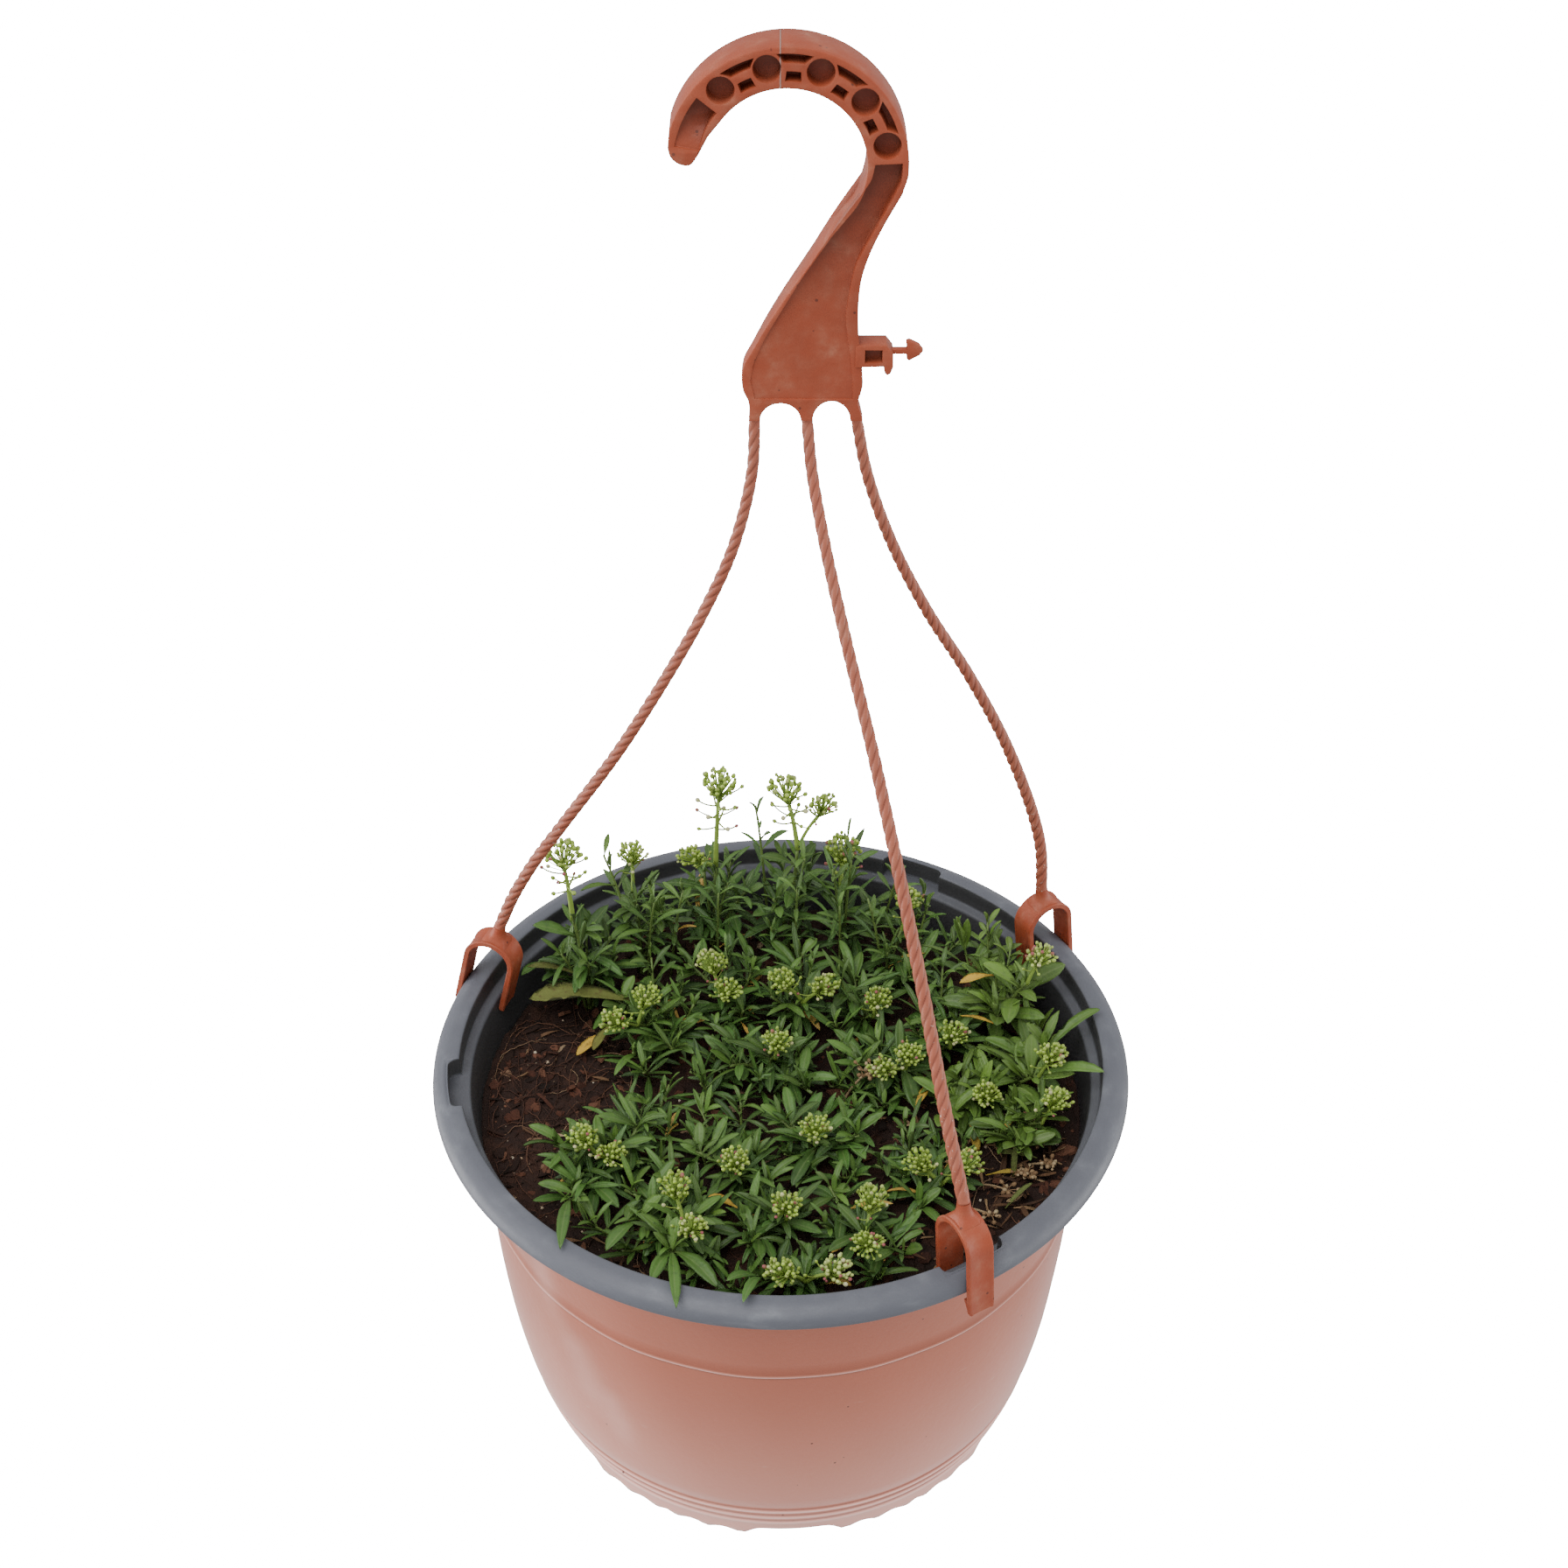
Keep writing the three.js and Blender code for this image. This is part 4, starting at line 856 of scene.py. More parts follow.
# A notch draws the flange out inside this radius and above this height, lowers its top, and takes
# the underside's points, by their height, out to new radii.
NOTCH_FROM = 129.6
NOTCH_FOOT = 162.1
NOTCH_TOP_DROP = 0.5
NOTCH_UNDER_DROP = 1.7
NOTCH_UNDER = {160.5: 129.4, 161.4: 130.0, 168.6: 130.1, 169.0: 130.5}
# Inner and outer radius and height of the foot's points that the arches lift.
FOOT_RING = (98.1, 101.2, 4.5)
# The ledge inside, between these heights, takes less of the inside's painted shade than the wall
# below it.
LEDGE = (161.2, 162.9)
DENT_AZIMUTH = 222


def pot_azimuths(sides):
    """Even steps, with extra ones at each notch's ends."""
    steps = np.round(np.arange(sides) * 360 / sides, 3)
    extra = [(azimuth + end * (NOTCH_HALF_ANGLE - NOTCH_END * share)) % 360
             for azimuth in NOTCH_AZIMUTHS for end in (-1, 1) for share in NOTCH_STEPS]
    apart = np.abs((steps[:, None] - np.array(extra)[None, :] + 180) % 360 - 180).min(1)
    return np.array(sorted([*steps[apart > 0.02], *np.round(extra, 3)]))


def notch_share(azimuth):
    """1 in a notch of the rim, falling to 0 over its rounded ends."""
    apart = np.min([np.abs((azimuth - a + 180) % 360 - 180) for a in NOTCH_AZIMUTHS], axis=0)
    inward = np.clip((NOTCH_HALF_ANGLE - apart) / NOTCH_END, 0, 1)
    return np.sqrt(np.maximum(0, 1 - (1 - inward) ** 2))


def highlight_streaks(azimuth, height):
    """Painted highlight streaks that slant down the outside, 1 along their middles."""
    total = np.zeros(np.shape(height))
    for start, slant, top, bottom, width in HIGHLIGHT_STREAKS:
        down = (top - height) / (top - bottom)
        apart = azimuth - start - slant * down - 1.5 * np.sin(down * 5)
        fade = np.clip(down * 4, 0, 1) * np.clip((1 - down) * 3, 0, 1)
        total = total + np.exp(-(apart / width) ** 2) * fade
    return np.clip(total, 0, 1)


def wall_waves(azimuth, height):
    """Soft waves all round the wall and a dent on one side, fading out at its foot and top."""
    turn = np.radians(azimuth)
    wall = np.clip((height - 20) / 60, 0, 1) * np.clip((160 - height) / 40, 0, 1)
    dent = np.exp(-((azimuth - DENT_AZIMUTH) / 9) ** 2)
    waves = (np.sin(turn * 7 + 0.5) * np.sin(height / 31 + turn * 2)
             + 1.6 * dent * np.sin((height - 70) / 15) + 0.8 * np.sin(turn * 17 + height / 23))
    return wall * waves


class ALYSSUM_OT_pot(bpy.types.Operator):
    """Turn the pot, with its feet, ridges, ledge and notched rim"""

    bl_idname = "alyssum.pot"
    bl_label = "Pot"

    def execute(self, context):
        settings = context.scene.alyssum_pot
        outline = np.array(pot_outline())
        azimuth = pot_azimuths(settings.sides)
        turn = np.radians(azimuth)
        radius = np.repeat(outline[:, :1], len(turn), axis=1)
        height = np.repeat(outline[:, 1:2], len(turn), axis=1)
        first, last, top = FOOT_RING
        feet = (outline[:, 1] < top) & (outline[:, 0] > first) & (outline[:, 0] < last)
        lift = foot_lift(azimuth)
        height[feet] = np.maximum(height[feet], lift + height[feet] * 0.25)
        inner = (outline[:, 2] > 0) & (outline[:, 0] < FLANGE_INNER + 0.3)
        share = notch_share(azimuth)
        moved_out, room = NOTCH_RADIUS - FLANGE_INNER, NOTCH_FROM - FLANGE_INNER
        for k, (r, z) in enumerate(outline[:, :2]):
            if outline[k, 2] and r < NOTCH_FROM and z > NOTCH_FOOT:
                radius[k] += share * (NOTCH_FROM - r) * moved_out / room
                height[k] -= share * NOTCH_TOP_DROP * (z > 170.2)
            elif not outline[k, 2] and z in NOTCH_UNDER:
                radius[k] += share * (NOTCH_UNDER[z] - r)
                height[k] -= share * (z > 168) * NOTCH_UNDER_DROP
        radius = radius + wall_waves(azimuth, height) * settings.dent / MM * 0.5
        points = np.stack([radius * np.cos(turn), radius * np.sin(turn), height], -1)
        shape = Shape()
        around = len(turn)
        low, high = LEDGE
        ledge = inner & (outline[:, 1] > low) & (outline[:, 1] < high)
        # Per point: greyness, painted shade of the inside wall (less on the ledge), painted
        # highlight on crests, painted shade in creases, and painted highlight streaks.
        shape.add(points.reshape(-1, 3), ring_faces(len(outline), around),
                  grey=np.repeat(outline[:, 2], around),
                  inner=np.repeat(inner - 0.6 * ledge, around),
                  crest=np.repeat(outline[:, 3], around), crease=np.repeat(outline[:, 4], around),
                  smear=(highlight_streaks(azimuth, height) * (outline[:, 2:3] == 0)).ravel())
        self.floor(shape, turn)
        finish = pot_finish(settings)
        shape.piece("pot_moulding", finish, ["pot"], crease=50, weld=0.02)
        return {"FINISHED"}

    def floor(self, shape, turn):
        """The floor with its drain holes."""
        edge = FLOOR_EDGE * np.stack([np.cos(turn), np.sin(turn)], -1)
        holes = []
        for i in range(DRAIN_HOLES):
            middle = 2 * math.pi * i / DRAIN_HOLES
            holes.append(bow(DRAIN_CIRCLE * math.cos(middle), DRAIN_CIRCLE * math.sin(middle),
                             DRAIN_RADIUS, DRAIN_RADIUS, 0, 345, 23))
        plate = filled(edge, holes)
        flat = np.concatenate([edge, *holes])
        for height, grey in ((FLOOR_UNDER, 0.0), (FLOOR_TOP, 1.0)):
            shape.add(np.column_stack([flat, np.full(len(flat), height)]), plate, grey=grey)
        for hole in holes:
            rings = [np.column_stack([hole, np.full(len(hole), z)])
                     for z in (FLOOR_UNDER, FLOOR_TOP)]
            shape.add(np.concatenate(rings), ring_faces(2, len(hole)),
                      grey=np.repeat([0.0, 1.0], len(hole)))


# What the clay outside and the grey inside turn to in places: real specks, scratches and scuffs,
# and painted light: paler low down and on the foot for light from the pale floor below, painted
# highlight streaks, painted highlights on ridge crests, painted shade in creases and painted shade
# on the inside wall.
CLAY_FLOOR_LIGHT = (0.92, 0.42, 0.33)
CLAY_FOOT_LIGHT = (0.98, 0.56, 0.48)
CLAY_HIGHLIGHT_STREAK = (0.95, 0.62, 0.55)
CLAY_CREST_HIGHLIGHT = (1.0, 0.64, 0.56)
CLAY_CREASE_SHADE = (0.09, 0.028, 0.02)
DARK_SPECK = (0.05, 0.02, 0.015)
PALE_SPECK = (0.8, 0.66, 0.6)
CLAY_SCRATCH = (0.7, 0.5, 0.43)
GREY_SCUFF = (0.3, 0.32, 0.35)
INNER_WALL_SHADE = (0.03, 0.029, 0.028)


def pot_finish(settings):
    finish = Finish("pot plastic", Specular_IOR_Level=0.35, Coat_Roughness=0.25, Sheen_Weight=0.62,
                    Sheen_Roughness=0.3, Sheen_Tint=(1.0, 0.8, 0.75, 1.0))
    grey = finish.read("grey")
    height = finish.coordinate("Z")
    cloud = finish.grain(22, 4)
    fine = finish.grain(420, 2)
    warm = finish.blend(toned(settings.clay, 0.92), toned(settings.clay, 1.08), cloud)
    scratch = finish.grain(46, 6, (1, 1, 9), 0.7).between(0.66, 0.72)
    clay = finish.tinted(
        warm,
        # Painted light from the pale floor below: paler towards the bottom, most on the foot.
        (CLAY_FLOOR_LIGHT, (1 - height.between(0.0, 0.12)) * 0.5),
        (CLAY_FOOT_LIGHT, (1 - height.between(0.011, 0.024)) * 0.55),
        # Painted highlight streaks down the outside.
        (CLAY_HIGHLIGHT_STREAK, finish.read("smear") * 0.2),
        # Painted highlights on the ridges' crests and painted shade in their creases.
        (CLAY_CREST_HIGHLIGHT, finish.read("crest") * 0.85),
        (CLAY_CREASE_SHADE, finish.read("crease") * 0.85),
        (DARK_SPECK, finish.spots(90, 0.05) * 0.8),
        (PALE_SPECK, finish.spots(55, 0.03) * 0.6),
        (CLAY_SCRATCH, scratch * (1 - height.between(0.05, 0.12)) * 0.55),
    )
    steel = finish.tinted(
        finish.blend(tuple(settings.grey), toned(settings.grey, 1.22), cloud),
        (GREY_SCUFF, finish.grain(70, 5, (1, 1, 4)) ** 6 * 1.4),
        # Painted shade on the inside wall.
        (INNER_WALL_SHADE, finish.read("inner") * 0.86),
    )
    finish.colour(clay)
    finish.rough(0.33 + 0.12 * cloud + 0.1 * fine)
    finish.overlay(grey, steel, 0.39 + 0.12 * cloud + 0.1 * fine, 0.4)
    finish.relief(fine * 0.6 + finish.grain(60, 2) * 0.8, 0.00012)
    return finish


# -------------------- potting mix


def mix_surface(x, y):
    """The mix's mounds with crumbs and hollows on them."""
    height = mix_height(x, y)
    rough = np.array([
        noise.fractal(Vector((a * 0.05, b * 0.05, 3.0)), 0.9, 2.1, 5) * 1.7
        + abs(noise.noise(Vector((a * 0.32, b * 0.32, 9.0)))) * 2.2
        + noise.noise(Vector((a * 0.7, b * 0.7, 5.0))) * 0.7
        for a, b in zip(np.ravel(x), np.ravel(y))
    ])
    return height + rough.reshape(np.shape(x)) - 0.9


def surface_at(x, y):
    """Height of the mix's surface at one spot."""
    return mix_surface(np.array([x]), np.array([y]))[0]


def anywhere(draw, reach):
    """A spot on a disc, drawn evenly over it."""
    r = reach * math.sqrt(draw.random())
    a = draw.random() * 2 * math.pi
    return r * math.cos(a), r * math.sin(a)


# Rings of the bed's top, and radius and height of its side down the wall and under it.
BED_TOP_RADII = (1.0, 118.4, 104)
BED_AROUND = 300
BED_SIDE = ((117.3, 138), (115.6, 125), (113.6, 86), (109.9, 52), (104.3, 22), (97, 7.2), (1, 7.2))
# How far from the middle each kind of crumb lies, and where each one's draw starts.
CHIP_REACH, CHIP_SEED = 116, 11
FIBRE_REACH, FIBRE_SEED = 112, 23
GRAIN_REACH, GRAIN_SEED = 114, 37
# Where the mix is bare: azimuth and its spread, inner and outer radius.
BARE_SIDE = (178, 26, 70, 115)


class ALYSSUM_OT_mix(bpy.types.Operator):
    """Lay the potting mix with its crumbs, fibres, chips and pale grains"""

    bl_idname = "alyssum.mix"
    bl_label = "Potting mix"

    def execute(self, context):
        settings = context.scene.alyssum_mix
        finish = mix_finish(settings)
        shape = Shape()
        turn = np.arange(BED_AROUND) * 2 * math.pi / BED_AROUND
        radii = np.linspace(*BED_TOP_RADII)
        x = radii[:, None] * np.cos(turn)
        y = radii[:, None] * np.sin(turn)
        top = np.stack([x, y, mix_surface(x, y)], -1)
        under = [[(r * math.cos(a), r * math.sin(a), z) for a in turn] for r, z in BED_SIDE]
        rings = np.concatenate([top, np.array(under)])
        shape.add(rings.reshape(-1, 3), *closed_faces(len(rings), BED_AROUND))
        shape.piece("potting_mix_bed", finish, ["potting_mix"])
        self.scatter_chips(settings)
        self.scatter_fibres(settings)
        self.scatter_grains(settings)
        return {"FINISHED"}

    def scatter_chips(self, settings):
        """Flat crumbs of bark and coir, each an uneven little slab."""
        draw = np.random.default_rng(CHIP_SEED)
        shape = Shape()
        around = 6
        for _ in range(settings.chips):
            x, y = anywhere(draw, CHIP_REACH)
            size = 0.6 + 2.6 * draw.random() ** 2.5
            angle = np.sort(draw.random(around)) * 0.5 + np.arange(around) * 2 * math.pi / around
            reach = size * draw.uniform(0.6, 1.1, around)
            flat = np.stack([reach * np.cos(angle) * draw.uniform(1, 2.4), reach * np.sin(angle),
                             draw.uniform(-0.2, 0.2, around) * size], -1)
            thick = draw.uniform(0.25, 0.5) * size
            slab = np.concatenate([flat * [0.85, 0.85, 1] + [0, 0, thick], flat])
            tilt = (Matrix.Rotation(draw.random() * 6.28, 3, "Z")
                    @ Matrix.Rotation(draw.normal(0, 0.4), 3, "X")
                    @ Matrix.Rotation(draw.normal(0, 0.4), 3, "Y"))
            points = slab @ np.array(tilt).T + [x, y, surface_at(x, y) - 0.1]
            shape.add(points, *closed_faces(2, around), tone=draw.random())
        shape.piece("mix_chips", chip_finish(), crease=30)

    def scatter_fibres(self, settings):
        """Coir fibres, lying on the mix and rising out of it."""
        draw = np.random.default_rng(FIBRE_SEED)
        shape = Shape()
        steps = 14
        middle, spread, inner, outer = BARE_SIDE
        for _ in range(settings.fibres):
            bare = draw.random() < 0.55
            r = FIBRE_REACH * math.sqrt(draw.random())
            a = math.radians(draw.normal(middle, spread)) if bare else draw.random() * 2 * math.pi
            r = draw.uniform(inner, outer) if bare else r
            length = draw.uniform(8, 34)
            heading = draw.random() * 2 * math.pi
            curl = draw.normal(0, 0.05)
            path = [np.array([r * math.cos(a), r * math.sin(a)])]
            for _step in range(steps):
                curl += draw.normal(0, 0.035)
                heading += curl
                step = length / steps * np.array([math.cos(heading), math.sin(heading)])
                path.append(path[-1] + step)
            path = np.array(path)
            out = np.hypot(path[:, 0], path[:, 1])
            path *= np.minimum(1, outer / out)[:, None]
            rise = draw.uniform(0.2, 2.6) * np.sin(np.linspace(0, math.pi, steps + 1)) ** 2
            z = mix_surface(path[:, 0], path[:, 1]) + 0.35 + rise
            thick = draw.uniform(0.09, 0.24)
            points, faces = tube(np.column_stack([path, z]), np.full(steps + 1, thick), 4)
            shape.add(points, *faces, tone=draw.random())
        shape.piece("mix_fibres", fibre_finish())

    def scatter_grains(self, settings):
        """Pale grains, most of them smaller than a lentil."""
        draw = np.random.default_rng(GRAIN_SEED)
        shape = Shape()
        for _ in range(settings.grains):
            x, y = anywhere(draw, GRAIN_REACH)
            size = draw.uniform(0.3, 0.9)
            points, faces = bud_mesh(np.zeros(3), np.array([0, 0, 1.0]), size, size * 0.8, 6, 4)
            points = points * draw.uniform(0.75, 1.15, (len(points), 1))
            shape.add(points + [x, y, surface_at(x, y) + 0.3], *faces, tone=draw.random())
        shape.piece("mix_grains", grain_finish())


COIR_RED = (0.085, 0.034, 0.019)
COIR_DUST = (0.3, 0.24, 0.17)
CHIP_TONES = [
    (0.0, (0.009, 0.005, 0.0035)), (0.5, (0.027, 0.011, 0.007)), (0.8, (0.088, 0.031, 0.018)),
    (0.97, (0.16, 0.07, 0.04)), (1.0, (0.34, 0.25, 0.15)),
]
CHIP_SHADE = (0.02, 0.01, 0.006)
FIBRE_TONES = [
    (0.0, (0.025, 0.01, 0.006)), (0.55, (0.08, 0.031, 0.017)), (0.88, (0.17, 0.08, 0.042)),
    (1.0, (0.34, 0.23, 0.13)),
]
FIBRE_SHADE = (0.05, 0.02, 0.012)
GRAIN_PALE = (0.62, 0.55, 0.42)
GRAIN_TAN = (0.32, 0.22, 0.13)
GRAIN_DIRT = (0.16, 0.1, 0.06)


def mix_finish(settings):
    finish = Finish("damp coir", Specular_IOR_Level=0.35)
    crumb = finish.grain(240, 6)
    patch = finish.grain(45, 3)
    dark = finish.blend(toned(settings.coir, 0.35), toned(settings.coir, 1.5), crumb)
    red = finish.blend(dark, COIR_RED, patch.between(0.5, 0.68) * crumb * 0.8)
    finish.colour(finish.blend(red, COIR_DUST, finish.spots(260, 0.09) * 0.7))
    finish.rough(0.72 + 0.25 * crumb)
    finish.relief(finish.grain(420, 6) + finish.grain(1400, 3) * 0.4, 0.002)
    return finish


def chip_finish():
    finish = Finish("bark and coir chips", Specular_IOR_Level=0.3)
    tone = finish.ramp(finish.read("tone"), CHIP_TONES)
    fibre = finish.grain(700, 3, (1, 5, 1))
    finish.colour(finish.blend(tone, CHIP_SHADE, fibre.between(0.45, 0.7) * 0.6))
    finish.rough(0.85 + 0.1 * fibre)
    finish.relief(fibre, 0.0003)
    return finish


def fibre_finish():
    finish = Finish("coir fibre", Specular_IOR_Level=0.4)
    tone = finish.ramp(finish.read("tone"), FIBRE_TONES)
    finish.colour(finish.blend(tone, FIBRE_SHADE, finish.grain(160, 2) * 0.7))
    finish.rough(0.7 + 0.15 * finish.grain(300, 2))
    return finish


def grain_finish():
    finish = Finish("pale grains", Specular_IOR_Level=0.35)
    pale = finish.blend(GRAIN_PALE, GRAIN_TAN, finish.read("tone"))
    finish.colour(finish.blend(pale, GRAIN_DIRT, finish.grain(900, 3).between(0.5, 0.8)))
    finish.rough(0.8 + 0.15 * finish.grain(900, 2))
    finish.relief(finish.grain(1500, 3), 0.0002)
    return finish


# -------------------- hanger


HOOK_EDGE = 0.5  # rounding of the hook's edges
TAPER_CUTS = (TAPER_BOTTOM, 315, 340, TAPER_TOP)
# Beyond this x the first pocket runs out: the angle where it ends, and the angle it takes.
TIP_SIDE = -18
TIP_ANGLE = 168
TIP_RUN = 20
# Half thickness of a strand over its plies at the top and the foot, and how far from each end
# the plies reach their full depth.
STRAND_CROWNS = (1.84, 2.3)
PLY_START = 5
PLY_END = 6
STRAND_RINGS = 380
STRAND_SIDES = 32


def hook_outline():
    """Once round the hook's side, from the legs' feet up over the crook and back."""
    x, z = HOOK_CENTRE
    return tidy([
        *bow(-0.1, LEG_BOTTOM, 6.5, 6.2, 180, 0, 20),
        *bow(16.2, LEG_BOTTOM, 6, 7, 180, 0, 20),
        (26.2, LEG_BOTTOM),
        *smooth([(25.4, 279), (24.6, 282), (25.3, 285), (26, 288.5), (25.3, 296)], 14),
        *smooth([(24.4, 304), (24, 315), (24.8, 325.5), (27.3, 334.5), (31, 343.3), (36.4, 354)],
                22),
        *bow(x, z, CROOK_OUTER, CROOK_OUTER, -5, 163, 70),
        *smooth([(-33.4, 368.6), (-32.7, 365.9), (-31, 364), (-28.7, 363.1), (-26.7, 363.3),
                 (-24.5, 366.2), (-21.4, 372)], 20),
        *bow(x, z, CROOK_INNER, CROOK_INNER, 143, -38, 60),
        *smooth([(14.8, 340.2), (8.2, 329.8), (1.4, 319.2), (-4.1, 309.9), (-9.3, 299.9),
                 (-11.6, 295.5), (-12.4, 290.5), (-11.9, 286)], 26),
        *smooth([(-10.4, 282.8), (-10, 280), (-10.2, LEG_BOTTOM)], 6),
    ])


PIN_BLOCK = (
    (23.4, 302.5), (33.1, 302.5), (35.3, 299.6), (35.4, 295.1), (34.6, 292.9), (33.6, 292.2),
    (32.7, 292.9), (32.3, 295.2), (23.4, 295),
)
PIN_WINDOW = ((26.4, 301), (26.4, 296.5), (31.9, 296.7), (31.9, 301))
PIN_ARROW = (
    (34, 299.9), (39.5, 299.9), (39.3, 302.4), (40.2, 302.9), (43.3, 301.4), (44.8, 299.4),
    (43.8, 297.9), (40.4, 295.9), (39.6, 296.6), (39.5, 298.3), (34, 298.3),
)


def crook_cell(inner, outer, middle, inner_half, outer_half, count):
    """A sector between two radii, either side of an angle, by half angles at each radius."""
    x, z = HOOK_CENTRE
    return [*bow(x, z, outer, outer, middle - outer_half, middle + outer_half, count),
            *bow(x, z, inner, inner, middle + inner_half, middle - inner_half, count)]


def hook_pockets():
    """The round pockets, the small ones between them, the one at the tip and the plate's."""
    x, z = HOOK_CENTRE
    pockets = []
    for angle in ROUND_POCKETS:
        cx = x + ROUND_POCKET_CIRCLE * math.cos(math.radians(angle))
        cz = z + ROUND_POCKET_CIRCLE * math.sin(math.radians(angle))
        pockets.append(bow(cx, cz, ROUND_POCKET_RADIUS, ROUND_POCKET_RADIUS, 0, 345, 23))
    for first, second in zip(ROUND_POCKETS, ROUND_POCKETS[1:]):
        angle = (first + second) / 2
        pockets.append(crook_cell(31.7, 34.4, angle, 5.6, 9.2, 7))
        pockets.append(crook_cell(26.2, 29.2, angle, 5.2, 4.2, 4))
    pockets.append(crook_cell(26.4, 33.8, 155, 14, 14, 14))
    pockets.append([
        *bow(x, z, 34.4, 34.4, 2, -8, 5),
        *smooth([(32.8, 351), (27.9, 341), (23.2, 331), (21.2, 321), (20.2, 312), (20.9, 306)], 18),
        (21.8, 299.4), (22.7, 290), (22.9, 283.4), (-8.3, 283.4), (-9.6, 290),
        *smooth([(-8.6, 296), (-5.4, 304), (2.1, 318.1), (9.4, 331.1), (17.2, 343.9), (25, 355.4),
                 (27, 359), (28, 363.5)], 24),
    ])
    return [tidy(pocket) for pocket in pockets]


def filled(outline, holes=()):
    """Triangles of a flat outline with holes, numbered through all of their points in turn."""
    loops = [[Vector((x, z, 0)) for x, z in loop] for loop in (outline, *holes)]
    return np.array(tessellate_polygon(loops))


def at_depth(outline, y):
    """A flat outline stood up across the hook, at a depth of y."""
    outline = np.asarray(outline, float)
    return np.stack([outline[:, 0], np.full(len(outline), y), outline[:, 1]], -1)


def moulded(shape, outline, half, pockets=(), edge=HOOK_EDGE, mouth=0.12, floor=POCKET_DEPTH):
    """A flat moulding with rounded edges and drafted pockets in its faces."""
    rounding = ((edge, 0.0), (edge * 0.3, edge * 0.3), (0.0, edge))
    rings = [at_depth(inset(outline, d), y - half) for d, y in rounding]
    rings += [at_depth(inset(outline, d), half - y) for d, y in reversed(rounding)]
    shape.add(np.concatenate(rings), ring_faces(len(rings), len(outline)))
    for side in (-1, 1):
        mouths = [inset(pocket, -mouth) for pocket in pockets]
        face = inset(outline, edge)
        flat = np.concatenate([face, *mouths]) if len(mouths) else face
        shape.add(at_depth(flat, side * half), filled(face, mouths))
        for pocket in pockets:
            steps = ((-mouth, 0.0), (-mouth * 0.3, mouth * 0.3), (0.0, mouth), (0.1, floor * 0.5),
                     (0.2, floor - 0.4), (0.5, floor))
            walls = [at_depth(inset(pocket, d), side * (half - y)) for d, y in steps]
            # deep, how far into a pocket a point lies, carries the pockets' painted shade.
            shape.add(np.concatenate(walls), ring_faces(len(walls), len(pocket)),
                      deep=np.repeat((0, 0, 0.1, 0.7, 1, 0.9), len(pocket)))
            ground = inset(pocket, 0.5)
            shape.add(at_depth(ground, side * (half - floor)), filled(ground), deep=0.9)


class ALYSSUM_OT_hook(bpy.types.Operator):
    """Mould the hook with its pockets, plate, legs and spare pin"""

    bl_idname = "alyssum.hook"
    bl_label = "Hook"

    def execute(self, context):
        finish = hanger_finish(context.scene.alyssum_hanger, seam=True)
        shape = Shape()
        moulded(shape, hook_outline(), HOOK_DEPTH / 2, hook_pockets())
        hook = shape.piece("hanger_hook", finish, ["hook"], weld=0.02)
        self.taper(hook)
        pin = Shape()
        moulded(pin, PIN_BLOCK, PIN_BLOCK_DEPTH / 2, [PIN_WINDOW], 0.3, 0.1, PIN_WINDOW_DEPTH)
        moulded(pin, PIN_ARROW, PIN_ARROW_DEPTH / 2, (), 0.35)
        spare = pin.piece("hanger_pin", finish, weld=0.02)
        for made in (hook, spare):
            for point in made.data.vertices:
                point.co.z += RIM * MM
            made.data.set_sharp_from_angle(angle=math.radians(38))
        return {"FINISHED"}

    def taper(self, hook):
        """The depth narrows towards the legs, and the first pocket runs out at the tip."""
        mesh = bmesh.new()
        mesh.from_mesh(hook.data)
        for height in TAPER_CUTS:
            geometry = mesh.verts[:] + mesh.edges[:] + mesh.faces[:]
            bmesh.ops.bisect_plane(mesh, geom=geometry, plane_co=(0, 0, height * MM),
                                   plane_no=(0, 0, 1), dist=1e-7)
        pocket_shade = mesh.verts.layers.float["deep"]
        thick, thin, edge = HOOK_DEPTH / 2, LEG_DEPTH / 2, HOOK_EDGE
        floor = thick - POCKET_DEPTH
        for point in mesh.verts:
            x, y, z = point.co / MM
            share = min(1, max(0, (z - TAPER_BOTTOM) / (TAPER_TOP - TAPER_BOTTOM)))
            half = thin + 0.05 + (thick - thin - 0.05) * share
            below = thick - abs(y)
            ground = min(floor, half - 0.45)
            if below > edge and x < TIP_SIDE:
                angle = math.degrees(math.atan2(z - HOOK_CENTRE[1], x - HOOK_CENTRE[0]))
                below = edge + (below - edge) * min(1, max(0.04, (TIP_ANGLE - angle) / TIP_RUN))
            if share == 1:
                depth = thick - below
            elif below <= edge:
                depth = half - below
            else:
                deep = (below - edge) / (POCKET_DEPTH - edge)
                depth = max(ground, half - edge) * (1 - deep) + ground * deep
            if below <= POCKET_DEPTH + 0.01:
                point.co.y = math.copysign(depth * MM, y)
            # The pockets' painted shade follows their depth after the taper.
            point[pocket_shade] *= min(1, max(0, (half - depth) / POCKET_DEPTH))
        mesh.to_mesh(hook.data)
        mesh.free()


